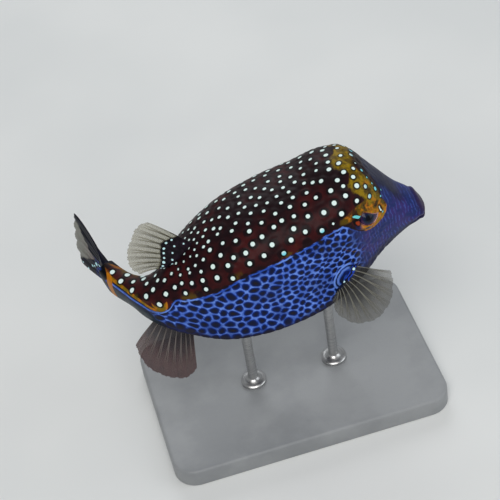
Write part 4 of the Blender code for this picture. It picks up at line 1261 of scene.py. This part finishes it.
@dataclass(frozen=True)
class EyeColors:
    """Colours of an eye, in linear light."""
    iris: Color = (0.010, 0.008, 0.050)
    streak: Color = (0.045, 0.014, 0.060)
    mottle: Color = (0.090, 0.030, 0.060)
    rim: Color = (0.20, 0.08, 0.12)
    pupil: Color = (0.0015, 0.0020, 0.0050)
    pupil_edge: Color = (0.004, 0.012, 0.040)


@dataclass
class Eye:
    """Glossy eyeball: a sphere whose rings are centred on its axis, with a low corneal dome."""
    shape: BodyShape
    side: Side
    place: EyePlace = field(default_factory=EyePlace)
    rings: int = 60
    sides: int = 96
    cornea: tuple = (3.4, 0.35)
    under_lid: float = 0.02
    behind: float = 20.0
    colors: EyeColors = field(default_factory=EyeColors)

    def build(self) -> bpy.types.Object:
        """Make the eyeball.

        Formula: rings at equal angles from the axis; inside the cornea's angle the
        radius grows by a smooth dome.

        Returns:
            The new object.
        """
        point, axis, forward, up = self.place.frame(self.shape, self.side)
        ball = self.place.radius
        centre = point - axis * (ball - self.place.proud)
        polar = np.linspace(0.0, math.pi, self.rings + 1)[1:-1, None]
        turn = np.arange(self.sides)[None] * 2 * math.pi / self.sides
        front = polar < math.pi / 2
        dome = self.cornea[1] * ramp(np.sin(polar) * ball, self.cornea[0], 0.0) * front
        radius = ball - self.under_lid + dome
        across = np.cos(turn)[..., None] * forward + np.sin(turn)[..., None] * up
        away = np.cos(polar)[..., None] * axis + np.sin(polar)[..., None] * across
        rings = centre + radius[..., None] * away
        ends = np.array([centre + axis * radius[0, 0], centre - axis * radius[-1, 0]])
        off = np.where(front, np.repeat(np.sin(polar) * ball, self.sides, 1), self.behind)
        fields = {
            "off": np.append(off, [0.0, self.behind]),
            "ahead": np.append(np.cos(turn) * off, [0.0, 0.0]),
            "above": np.append(np.sin(turn) * off, [0.0, 0.0]),
        }
        name = f"eye_{self.side.name.lower()}_ball"
        return build_closed(name, self.shape.placed(rings), self.shape.placed(ends), fields, self.dress())

    def dress(self) -> bpy.types.Material:
        """Eye finish: black pupil, indigo iris with a pale violet rim, and a wet gloss."""
        g, c = Graph("wet_eye"), self.colors
        off, ahead, above = g.read("off", "ahead", "above")
        streak = g.noise(900.0, 3.0, 0.6)
        mottle = g.noise(420.0)
        iris = g.mix(c.iris, c.streak, g.ramp(streak, 0.4, 0.62))
        iris = g.mix(iris, c.mottle, g.ramp(mottle, 0.50, 0.66) * 0.6)
        dx, dz = ahead - 0.3, above - 1.1
        gaze = g.math("SQRT", dx * dx * 0.72 + dz * dz)
        iris = g.mix(iris, c.rim, g.ramp(off + (mottle - 0.5) * 1.2, 3.4, 4.2) * 0.7)
        pupil = g.mix(c.pupil, c.pupil_edge, g.ramp(gaze, 0.8, 1.7))
        color = g.mix(iris, pupil, g.ramp(gaze, 2.05, 1.75))
        return g.finish(Base_Color=color, Roughness=0.12, Coat_Weight=0.22, Coat_Roughness=0.03,
                        Specular_IOR_Level=0.15)


@dataclass(frozen=True)
class SpotRow:
    """A row of small dots along the rim of a fin's lobe: how far inside it, how many, how large."""
    inset: float
    count: int
    radius: float
    start: float = 0.05
    end: float = 0.95


@dataclass(frozen=True)
class FinLook:
    """Colours of a fin, and how opaque its web is at the root and at the tip."""
    web: Color = (0.30, 0.29, 0.25)
    web_tip: Color = (0.34, 0.33, 0.28)
    ray: Color = (0.055, 0.05, 0.05)
    flesh: Color = (0.006, 0.003, 0.006)
    trim: Color = (0.018, 0.085, 0.70)
    dot: Color = (0.62, 0.90, 0.95)
    halo: Color = (0.002, 0.002, 0.003)
    alpha: tuple = (0.5, 0.4)
    ray_alpha: float = 0.95
    trim_share: float = 0.0


@dataclass
class Fin:
    """A fin of branching rays in a thin web, with a fleshy root sunk into the body.

    Subclasses give the root and the tip of each ray. Places across the fin run
    from 0 at the first ray to 1 at the last.
    """
    shape: BodyShape
    name: str = "fin"
    node: str = "fin"
    rays: int = 10
    steps_per_ray: int = 16
    rows: int = 52
    half_flesh: float = 1.7
    lobe: float = 6.5
    lobe_line: tuple = ((0.0, 1.0), (3.4, 3.4))
    rounded: float = 0.96
    web_half: float = 0.10
    ray_half: float = 0.24
    fringe: float = 0.45
    look: FinLook = field(default_factory=FinLook)
    rows_of_dots: tuple = ()
    dots: tuple = ()
    seed: int = 3

    def edges(self, c: np.ndarray) -> tuple:
        """Root points, tip points, bow vectors and the length sunk below the skin, for each c."""
        raise NotImplementedError

    def rim(self, c: np.ndarray, u: np.ndarray, out: np.ndarray) -> np.ndarray:
        """Millimetres inside the dark lobe's rim, below 0 outside it."""
        return hermite(c, *self.lobe_line) - out

    def ridge(self, c: np.ndarray, u: np.ndarray) -> np.ndarray:
        """How much of a ray lies at c, u.

        Formula: each ray is a bell across c; past a third of its length it parts
        into two bells that spread apart, and near the tip into four.

        Args:
            c: Places across the fin, one row.
            u: Shares of the way out, one column.

        Returns:
            Values from 0 between rays to 1 on a ray.
        """
        gap = 1.0 / (self.rays - 1)
        place = (c / gap + 0.5) % 1.0 - 0.5
        first = 0.17 * ramp(u, 0.3, 0.95)
        second = 0.075 * ramp(u, 0.62, 1.0)
        width = 0.095 - 0.04 * u
        total = np.zeros(np.broadcast(c, u).shape)
        for a in (-1, 1):
            for b in (-1, 1):
                total = np.maximum(total, np.exp(-((place - a * first - b * second) / width) ** 2))
        return total

    def surface(self, c: np.ndarray, u: np.ndarray) -> tuple:
        """Middle surface of the fin and how far out each place is.

        Formula: straight rays from root to tip, bent aside by bow times u^2 (1 - u)
        and by a ripple that grows towards the tips.

        Args:
            c: Places across the fin.
            u: Shares of the way out, one column.

        Returns:
            Points, and distances out from the skin in millimetres.
        """
        root, tip, bow, sunk = self.edges(c)
        length = np.linalg.norm(tip - root, axis=-1)
        fringe = self.fringe * (self.ridge(c, np.ones_like(c)) - 0.6)
        tip = tip + unit(tip - root) * fringe[:, None]
        v = u[..., None]
        web = root[None] * (1 - v) + tip[None] * v + bow[None] * v * v * (v - 1) * 6.75
        across = np.gradient(web, axis=1)
        normal = unit(np.cross(across, np.gradient(web, axis=0)))
        wave = 0.28 * np.sin(c[None] * (self.rays - 1) * math.pi) * ramp(u, 0.25, 1.0)
        return web + normal * wave[..., None], u * length[None] - sunk

    def build(self) -> bpy.types.Object:
        """Make the fin: two faces over one grid, joined round the rim."""
        count = (self.rays - 1) * self.steps_per_ray + 1
        c = np.linspace(0.0, 1.0, count)
        u = np.linspace(0.0, 1.0, self.rows)[:, None]
        web, out = self.surface(c, u)
        normal = unit(np.cross(np.gradient(web, axis=1), np.gradient(web, axis=0)))
        ridge = self.ridge(c[None], u)
        flesh = ramp(out, self.lobe, 0.0)
        side = 2 * c[None] - 1
        half = self.web_half + self.ray_half * ridge * (1 - 0.55 * u) * (1 - flesh)
        half = half + self.half_flesh * flesh * np.sqrt(1 - self.rounded * side * side)
        half = half * (1 - 0.6 * ramp(u, 0.93, 1.0))
        near = web + normal * half[..., None]
        far = web - normal * half[..., None]
        fields = {
            "ray": ridge,
            "out": out,
            "rim": self.rim(c[None], u, out),
            "dot": self.dot_field(web, out, c),
            "u": np.repeat(u, count, 1),
            "across": np.repeat(c[None], self.rows, 0),
        }
        fields = {key: np.tile(value.ravel(), 2) for key, value in fields.items()}
        quads = grid_faces(self.rows, count, False)
        total = self.rows * count
        edge = np.concatenate([
            np.arange(count), np.arange(1, self.rows) * count + count - 1,
            (self.rows - 1) * count + np.arange(count - 2, -1, -1), np.arange(self.rows - 2, 0, -1) * count,
        ])
        following = np.roll(edge, -1)
        rim = np.stack([following, edge, total + edge, total + following], -1)
        faces = np.concatenate([quads, quads[:, ::-1] + total, rim])
        points = np.concatenate([near.reshape(-1, 3), far.reshape(-1, 3)])
        no_tris = np.zeros((0, 3), int)
        return build_mesh(self.name, self.shape.placed(points), faces, no_tris, fields, self.dress())

    def dot_field(self, web: np.ndarray, out: np.ndarray, c: np.ndarray) -> np.ndarray:
        """Squared distance over squared radius of the nearest small dot, over the fin."""
        rng = np.random.default_rng(self.seed)
        spots = list(self.dots)
        for row in self.rows_of_dots:
            places = np.linspace(row.start, row.end, row.count) + rng.uniform(-0.012, 0.012, row.count)
            outs = hermite(places, *self.lobe_line) - row.inset + rng.uniform(-0.2, 0.2, row.count)
            radii = row.radius * rng.uniform(0.85, 1.15, row.count)
            spots.extend(zip(places, outs, radii))
        total = np.full(out.shape, 16.0)
        for place, far, radius in spots:
            column = min(max(int(round(place * (len(c) - 1))), 0), len(c) - 1)
            row = np.abs(out[:, column] - far).argmin()
            gap = np.linalg.norm(web - web[row, column], axis=-1)
            total = np.minimum(total, (gap / radius) ** 2)
        return total

    def dress(self) -> bpy.types.Material:
        """Fin finish: dark flesh with dots at the root, then rays in a thin web."""
        look = self.look
        g = Graph(f"{self.name}_web")
        ray, out, rim, dot, u = g.read("ray", "out", "rim", "dot", "u")
        mottle, fine = g.noise(500.0, 3.0), g.noise(1600.0)
        web = g.mix(look.web, look.web_tip, g.ramp(u + (mottle - 0.5) * 0.5, 0.45, 0.85))
        web = g.mix(web, tuple(0.5 * v for v in look.web), g.ramp(mottle, 0.5, 0.7) * 0.3)
        bone = g.ramp(ray + (fine - 0.5) * 0.10, 0.28, 0.75) * g.ramp(u, 1.08, 0.45)
        color = g.mix(web, look.ray, bone)
        lobe = g.ramp(rim + (mottle - 0.5) * 1.6, -0.35, 0.35)
        flesh = g.mix(look.flesh, tuple(2.6 * v for v in look.flesh), g.ramp(mottle, 0.45, 0.65))
        if look.trim_share:
            lanes = g.math("SINE", out * 4.2 + (mottle - 0.5) * 14.0)
            trim = g.ramp(lanes, 0.25, 0.85) * look.trim_share * g.ramp(g.field("across"), 0.58, 0.44)
            flesh = g.mix(flesh, look.trim, trim * g.ramp(out, 15.0, 10.0))
        color = g.mix(color, flesh, lobe)
        color = g.mix(color, look.halo, g.ramp(dot, 3.2, 1.6) * lobe * 0.8)
        white = g.ramp(dot, 1.2, 0.78)
        color = g.mix(color, look.dot, white)
        solid = g.most(g.most(lobe, bone * look.ray_alpha), white)
        low, high = look.alpha
        clear = g.ramp(u, 0.25, 0.95) * (high - low) + low
        alpha = solid * (1.0 - clear) + clear
        g.bump(fine, 0.04, 0.5)
        return g.finish(Base_Color=color, Roughness=g.ramp(mottle, 0.2, 0.8) * 0.1 + 0.42, Alpha=alpha,
                        Specular_IOR_Level=0.12)


@dataclass
class MiddleFin(Fin):
    """Dorsal or anal fin on the middle line.

    root is the range of s of its foot, turn its side of the section, tilt the first
    ray's angle back from straight up with its change and the power of that change,
    and lean its turn to the fish's left.
    """
    root: tuple = (87.0, 98.6)
    turn: float = 7.0
    tilt: tuple = (38.0, 46.0, 1.35)
    reach: tuple = ((0.0, 1.0), (20.0, 10.0))
    lean: float = 8.0
    sink: float = 2.6
    bow: tuple = (0.0, 0.0, -0.5)

    def edges(self, c: np.ndarray) -> tuple:
        """Rays turned from straight up towards the tail, from a root on the middle line."""
        s = self.root[0] + (self.root[1] - self.root[0]) * c
        back = np.radians(self.tilt[0] + self.tilt[1] * c ** self.tilt[2])
        lean = math.radians(self.lean)
        ray = np.stack([-np.sin(back), np.cos(back) * math.sin(lean), np.cos(back) * math.cos(lean)], -1)
        root = self.shape.surface(s, np.full(len(c), self.turn)) - ray * self.sink
        tip = root + ray * (hermite(c, *self.reach) + self.sink)[:, None]
        return root, tip, np.tile(self.bow, (len(c), 1)), self.sink


@dataclass
class PectoralFin(Fin):
    """Side fin: a fan from a slanting root on the flank, about an apex inside it."""
    side: Side = Side.RIGHT
    skin: Skin = None
    top: tuple = (36.2, 18.0)
    foot: tuple = (41.0, 9.0)
    sink: float = 1.6
    apex: tuple = (-38.5, -19.3, 11.5)
    forward: tuple = (0.968, -0.176, 0.178)
    down: tuple = (0.0, -0.712, -0.702)
    spread: tuple = (4.0, 151.0)
    reach: tuple = ((0.0, 0.2, 0.45, 0.75, 1.0), (17.0, 17.4, 17.0, 13.4, 8.5))
    bow: tuple = (0.0, 1.0, -0.6)

    def edges(self, c: np.ndarray) -> tuple:
        """Rays from the slanting root to tips on a fan about the apex."""
        s = self.top[0] + (self.foot[0] - self.top[0]) * c
        z = self.top[1] + (self.foot[1] - self.top[1]) * c
        width = self.skin.flank_width(s, z)
        root = np.stack([-s, -width + self.sink, z], -1)
        turn = np.radians(self.spread[0] + (self.spread[1] - self.spread[0]) * c)
        fan = np.cos(turn)[:, None] * np.array(self.forward) + np.sin(turn)[:, None] * np.array(self.down)
        tip = np.array(self.apex) + fan * hermite(c, *self.reach)[:, None]
        mirror = np.array([1.0, -self.side.value, 1.0])
        return root * mirror, tip * mirror, np.tile(self.bow, (len(c), 1)) * mirror, self.sink


@dataclass
class CaudalFin(Fin):
    """Tail fin: a twisted fan beyond the stem, from its lowest ray to its highest.

    Both margins are dark, with the clear web between them widening towards the
    tips: margin_u gives shares of the way out, and the others where it starts and
    ends across the fin.
    """
    start: float = 129.4
    joint: float = 131.3
    inset: float = 0.7
    low: float = 8.6
    high: float = 34.0
    twist: float = 11.0
    cup: float = -1.0
    reach: tuple = ((0.0, 0.25, 0.5, 0.8, 1.0), (26.5, 29.2, 29.0, 27.6, 25.8))
    margin_u: tuple = (0.0, 0.42, 0.55, 0.66, 0.74, 0.83, 0.93, 1.0)
    margin_low: tuple = (0.62, 0.50, 0.37, 0.29, 0.24, 0.18, 0.13, 0.10)
    margin_high: tuple = (0.30, 0.46, 0.50, 0.59, 0.70, 0.77, 0.82, 0.81)
    margin_width: float = 18.0

    def edges(self, c: np.ndarray) -> tuple:
        """Rays from inside the stem's end to tips that follow the bend of the spine."""
        shape = self.shape
        low = hermite(np.array(self.joint), shape.stations, shape.belly_z) + self.inset
        high = hermite(np.array(self.joint), shape.stations, shape.top_z) - self.inset
        x, y, _ = shape.spine(self.start)
        root = np.stack([np.full(len(c), x), np.full(len(c), y), low + (high - low) * c], -1)
        x, y, turn = shape.spine(self.joint + hermite(c, *self.reach))
        height = self.low + (self.high - self.low) * c
        aside = (height - (self.low + self.high) / 2) * math.tan(math.radians(self.twist))
        tip = np.stack([x + np.sin(turn) * aside, y + np.cos(turn) * aside, height], -1)
        bow = np.stack([0.25 + self.cup * c * c, np.full(len(c), 0.25), np.zeros(len(c))], -1)
        return root, tip, bow, self.joint - self.start

    def rim(self, c: np.ndarray, u: np.ndarray, out: np.ndarray) -> np.ndarray:
        """Inside the dark lower or upper margin, by the width of the fin."""
        lower = (hermite(u, self.margin_u, self.margin_low) - c) * self.margin_width
        upper = (c - hermite(u, self.margin_u, self.margin_high)) * self.margin_width
        return np.maximum(lower, upper)


@dataclass(frozen=True)
class StandColors:
    """Colours of the stand, in linear light."""
    resin: Color = (0.235, 0.245, 0.255)
    resin_light: Color = (0.30, 0.31, 0.32)
    speck: Color = (0.17, 0.18, 0.19)
    steel: Color = (0.50, 0.50, 0.50)
    steel_light: Color = (0.66, 0.66, 0.65)


@dataclass
class Stand:
    """Display stand: a rounded base with a softly bevelled edge, and two turned rods."""
    shape: BodyShape
    size: tuple = (112.0, 74.0, 8.0)
    corner: float = 9.0
    bevel: float = 1.2
    foot: float = 0.5
    rod_places: tuple = (("front", 44.0), ("rear", 78.0))
    rod_radius: float = 1.9
    foot_radius: float = 5.0
    pad_radius: float = 3.4
    rod_sides: int = 64
    colors: StandColors = field(default_factory=StandColors)

    def outline(self, inset: float, per_corner: int = 16) -> np.ndarray:
        """Rounded rectangle: quarter circles about the four corners' centres."""
        radius = max(self.corner - inset, 0.2)
        half = np.array(self.size[:2]) / 2 - self.corner
        turns = np.arange(4)[:, None] * math.pi / 2 + np.linspace(0.0, math.pi / 2, per_corner)[None]
        signs = np.array([[1, 1], [-1, 1], [-1, -1], [1, -1]])
        centre = signs[:, None, :] * half[None, None, :]
        return (centre + radius * np.stack([np.cos(turns), np.sin(turns)], -1)).reshape(-1, 2)

    def build_base(self) -> bpy.types.Object:
        """Stack outlines from the foot up, round both edges, and close top and bottom."""
        height = self.size[2]
        bends = [(1 - math.sin(a), 1 - math.cos(a)) for a in np.linspace(0.0, math.pi / 2, 7)]
        low = [(self.foot * a, self.foot * b) for a, b in bends]
        top = [(self.bevel * b, height - self.bevel * a) for a, b in bends]
        middle = self.corner - 0.5
        levels = [(middle, 0.0)] + low + top + [(self.bevel + 0.8, height), (middle, height)]
        rings = [np.pad(self.outline(inset), ((0, 0), (0, 1)), constant_values=z) for inset, z in levels]
        ends = np.array([[0.0, 0.0, 0.0], [0.0, 0.0, height]])
        return build_closed("stand_plinth", np.array(rings) * MM, ends * MM, {}, self.dress_base(), 40.0)

    def build_rod(self, name: str, s: float) -> bpy.types.Object:
        """Turned rod with a flanged foot, a slim shaft and a cup that meets the belly at s."""
        x, y, top = self.shape.placed(self.shape.surface(np.array([s]), np.array([0.0])))[0] / MM
        h = self.size[2]
        rod, wide, cup_wide = self.rod_radius, self.foot_radius, self.pad_radius
        f = np.linspace(0.0, 1.0, 9)
        foot = np.stack([rod + (wide - 0.3 - rod) * (1 - f) ** 2.2, h + 1.5 + 1.9 * f], -1)
        cup = np.stack([rod + (cup_wide - rod) * f ** 1.8, top - 4.6 + 3.0 * f], -1)
        profile = np.concatenate([
            [(wide - 0.15, h), (wide, h + 0.15), (wide, h + 1.2), (wide - 0.3, h + 1.5)],
            foot[1:], cup, [(cup_wide, top - 0.6), (cup_wide - 0.5, top + 0.35)],
        ])
        name = f"stand_rod_{name}_steel"
        return lathe(name, profile, (x, y), self.rod_sides, self.dress_rod(), 32.0)

    def dress_base(self) -> bpy.types.Material:
        """Moulded base finish: satin grey with a fine orange peel and faint clouding."""
        g, c = Graph("satin_grey_resin"), self.colors
        cloud = g.noise(38.0, 4.0, 0.55)
        speck = g.noise(2400.0, 2.0, 0.6)
        color = g.mix(c.resin, c.resin_light, g.ramp(cloud, 0.35, 0.65))
        color = g.mix(color, c.speck, g.ramp(speck, 0.60, 0.74) * 0.35)
        g.bump(g.noise(900.0, 3.0, 0.55), 0.05, 0.35)
        return g.finish(Base_Color=color, Roughness=g.ramp(cloud, 0.2, 0.8) * 0.10 + 0.42)

    def dress_rod(self) -> bpy.types.Material:
        """Brushed steel finish, with fine turning marks round the rod."""
        g, c = Graph("brushed_steel"), self.colors
        marks = g.noise(1.0, 3.0, 0.6, g.stretched((300.0, 300.0, 5000.0)))
        color = g.mix(c.steel, c.steel_light, g.ramp(marks, 0.35, 0.65))
        g.bump(marks, 0.004, 0.4)
        return g.finish(Base_Color=color, Roughness=g.ramp(marks, 0.2, 0.8) * 0.10 + 0.26, Metallic=1.0)


@dataclass(frozen=True)
class Lamp:
    """A square area light: its place and side in metres, power in watts and colour."""
    name: str
    place: tuple
    size: float
    power: float
    color: Color


@dataclass
class Studio:
    """Plain pale floor, soft lights, and the camera at the photograph's angle.

    The pivot of the fish lies at pivot_px of the picture, and a millimetre there
    is scale pixels long.
    """
    picture: float = 500.0
    azimuth: float = -10.0
    elevation: float = 43.0
    roll: float = 9.0
    distance: float = 0.6
    scale: float = 2.68
    pivot_px: tuple = (270.5, 248.0)
    pivot: tuple = (0.0, 0.0, 0.076)
    sensor: float = 36.0
    clip: tuple = (0.01, 50.0)
    floor_half: float = 3.0
    floor_colors: tuple = ((0.72, 0.735, 0.73), (0.78, 0.79, 0.78))
    lamps: tuple = (
        Lamp("key", (-0.25, -0.75, 1.05), 0.9, 9.5, (1.0, 0.985, 0.96)),
        Lamp("fill", (0.95, -0.35, 0.55), 0.9, 3.2, (0.93, 0.97, 1.0)),
        Lamp("back", (0.1, 0.9, 0.7), 0.7, 3.6, (0.95, 0.98, 1.0)),
    )
    room_color: tuple = (0.93, 0.96, 1.0, 1.0)
    room_strength: float = 0.28

    def axes(self) -> tuple:
        """Camera's right, up and backward unit vectors, from azimuth, elevation and roll."""
        a, e, r = (math.radians(v) for v in (self.azimuth, self.elevation, self.roll))
        right = np.array([math.cos(a), math.sin(a), 0.0])
        back = np.array([math.sin(a) * math.cos(e), -math.cos(a) * math.cos(e), math.sin(e)])
        up = np.cross(back, right)
        return right * math.cos(r) - up * math.sin(r), right * math.sin(r) + up * math.cos(r), back

    def build_camera(self) -> bpy.types.Object:
        """Camera on the line through the pivot, its picture shifted to the photo's framing."""
        right, up, back = self.axes()
        data = bpy.data.cameras.new("photo_camera")
        data.sensor_width = self.sensor
        data.lens = self.scale * self.distance / MM * data.sensor_width / self.picture
        data.shift_x = (self.picture / 2 - self.pivot_px[0]) / self.picture
        data.shift_y = (self.pivot_px[1] - self.picture / 2) / self.picture
        data.clip_start, data.clip_end = self.clip
        camera = bpy.data.objects.new("photo_camera", data)
        place = np.array(self.pivot) + back * self.distance
        rows = np.stack([right, up, back, place], -1).tolist()
        camera.matrix_world = Matrix(rows + [[0.0, 0.0, 0.0, 1.0]])
        bpy.context.scene.collection.objects.link(camera)
        bpy.context.scene.camera = camera
        return camera

    def build_floor(self) -> bpy.types.Object:
        """Pale floor with a faint, soft mottle."""
        h = self.floor_half
        points = np.array([[-h, -h, 0.0], [h, -h, 0.0], [h, h, 0.0], [-h, h, 0.0]])
        mesh = bpy.data.meshes.new("floor")
        mesh.from_pydata(points.tolist(), [], [(0, 1, 2, 3)])
        floor = bpy.data.objects.new("floor", mesh)
        bpy.context.scene.collection.objects.link(floor)
        g = Graph("pale_floor")
        color = g.mix(*self.floor_colors, g.ramp(g.noise(6.0, 3.0), 0.35, 0.65))
        mesh.materials.append(g.finish(Base_Color=color, Roughness=0.7))
        return floor

    def build_light(self, lamp: Lamp) -> None:
        """Area light that faces the pivot."""
        data = bpy.data.lights.new(lamp.name, "AREA")
        data.shape = "SQUARE"
        data.size = lamp.size
        data.energy = lamp.power
        data.color = lamp.color
        light = bpy.data.objects.new(lamp.name, data)
        light.location = lamp.place
        aim = Vector(self.pivot) - Vector(lamp.place)
        light.rotation_euler = aim.to_track_quat("-Z", "Y").to_euler()
        bpy.context.scene.collection.objects.link(light)

    def build(self) -> None:
        """Camera, floor, lights and the light of the room, shown in plain tones with no film curve."""
        bpy.context.scene.view_settings.view_transform = "Standard"
        self.build_camera()
        self.build_floor()
        for lamp in self.lamps:
            self.build_light(lamp)
        world = bpy.data.worlds.new("room")
        world.use_nodes = True
        background = world.node_tree.nodes["Background"]
        background.inputs["Color"].default_value = self.room_color
        background.inputs["Strength"].default_value = self.room_strength
        bpy.context.scene.world = world


def settle(piece: bpy.types.Object, slot: Slot, *nodes: str) -> None:
    """Let a piece ride on the model and stand for its CAD nodes.

    Args:
        piece: The new piece.
        slot: The record's slot for its finish; not used.
        nodes: CAD nodes that it replaces.
    """
    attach(piece, "root")
    if nodes:
        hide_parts(*nodes)
    LOG.info("%s: %d vertices for %s", piece.name, len(piece.data.vertices), ", ".join(nodes))


def make_fins(shape: BodyShape, skin: Skin) -> list:
    """The five fins, each with its own reach, colours and dots."""
    pale = FinLook(web=(0.30, 0.285, 0.20), web_tip=(0.36, 0.34, 0.25), ray=(0.045, 0.04, 0.03),
                   alpha=(0.55, 0.42))
    tail = FinLook(web=(0.25, 0.20, 0.19), web_tip=(0.24, 0.24, 0.20), ray=(0.07, 0.065, 0.06),
                   flesh=(0.0022, 0.0022, 0.0070), dot=(0.55, 0.88, 0.94), alpha=(0.85, 0.66),
                   trim_share=0.75)
    side = FinLook(web=(0.030, 0.029, 0.026), web_tip=(0.11, 0.105, 0.085), ray=(0.20, 0.195, 0.16),
                   flesh=(0.004, 0.006, 0.020), alpha=(0.72, 0.30), ray_alpha=0.8, trim_share=0.8)
    under = FinLook(web=(0.024, 0.018, 0.022), web_tip=(0.080, 0.034, 0.032), ray=(0.17, 0.150, 0.14),
                    flesh=(0.005, 0.006, 0.022), alpha=(0.80, 0.58), ray_alpha=0.85, trim_share=0.4)
    dorsal_rows = (SpotRow(1.3, 8, 0.50, 0.16, 1.0), SpotRow(4.6, 5, 0.42, 0.08, 0.8))
    side_dots = ((0.07, 1.5, 0.52), (0.51, 0.9, 0.55))
    tail_dots = ((0.06, 26.0, 0.60), (0.17, 17.0, 0.75), (0.34, 12.2, 0.95), (0.03, 20.8, 0.65),
                 (0.22, 14.4, 0.7), (0.40, 9.4, 0.8), (0.62, 6.7, 0.45), (0.93, 2.6, 0.32),
                 (0.10, 10.5, 0.7), (0.30, 5.8, 0.8))
    dorsal = MiddleFin(shape, "dorsal_rays", "dorsal_fin", look=pale, rows_of_dots=dorsal_rows,
                       lobe_line=((0.0, 0.11, 0.28, 0.49, 0.75, 1.0), (6.2, 7.3, 8.9, 7.2, 4.6, 3.0)),
                       reach=((0.0, 0.12, 0.35, 0.65, 0.88, 1.0), (19.0, 21.0, 20.2, 17.8, 13.5, 10.0)))
    anal = MiddleFin(shape, "anal_rays", "anal_fin", look=under, root=(96.5, 107.6), turn=0.0,
                     tilt=(165.0, -43.0, 1.8), lean=30.0, lobe_line=((0.0, 1.0), (1.6, 1.6)),
                     reach=((0.0, 0.15, 0.5, 0.8, 1.0), (20.8, 23.6, 24.4, 21.0, 15.5)))
    pectorals = [
        PectoralFin(shape, f"pectoral_rays_{which.name.lower()}", f"pectoral_fin_{which.name.lower()}",
                    rays=11, look=side, dots=side_dots, lobe_line=((0.0, 1.0), (2.3, 1.6)), side=which,
                    skin=skin)
        for which in Side
    ]
    caudal = CaudalFin(shape, "caudal_rays", "caudal_fin", look=tail, dots=tail_dots, half_flesh=2.0,
                       lobe=8.5, rounded=0.72)
    return [dorsal, anal, *pectorals, caudal]


def main() -> None:
    """Build the fish, its stand and the studio, and report each piece."""
    logging.basicConfig(level=logging.INFO, format="%(name)s: %(message)s")
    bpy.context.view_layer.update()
    shape = BodyShape()
    skin = Skin(shape)
    settle(skin.build(), Slot.SHELL, "head", "carapace", "tail_peduncle")
    for side in Side:
        settle(Eye(shape, side).build(), Slot.EYE, f"eye_{side.name.lower()}")
    for fin in make_fins(shape, skin):
        settle(fin.build(), Slot.FIN, fin.node)
    stand = Stand(shape)
    settle(stand.build_base(), Slot.BASE, "stand_base")
    for name, s in stand.rod_places:
        settle(stand.build_rod(name, s), Slot.ROD, f"stand_rod_{name}")
    Studio().build()


if __name__ == "__main__":
    main()
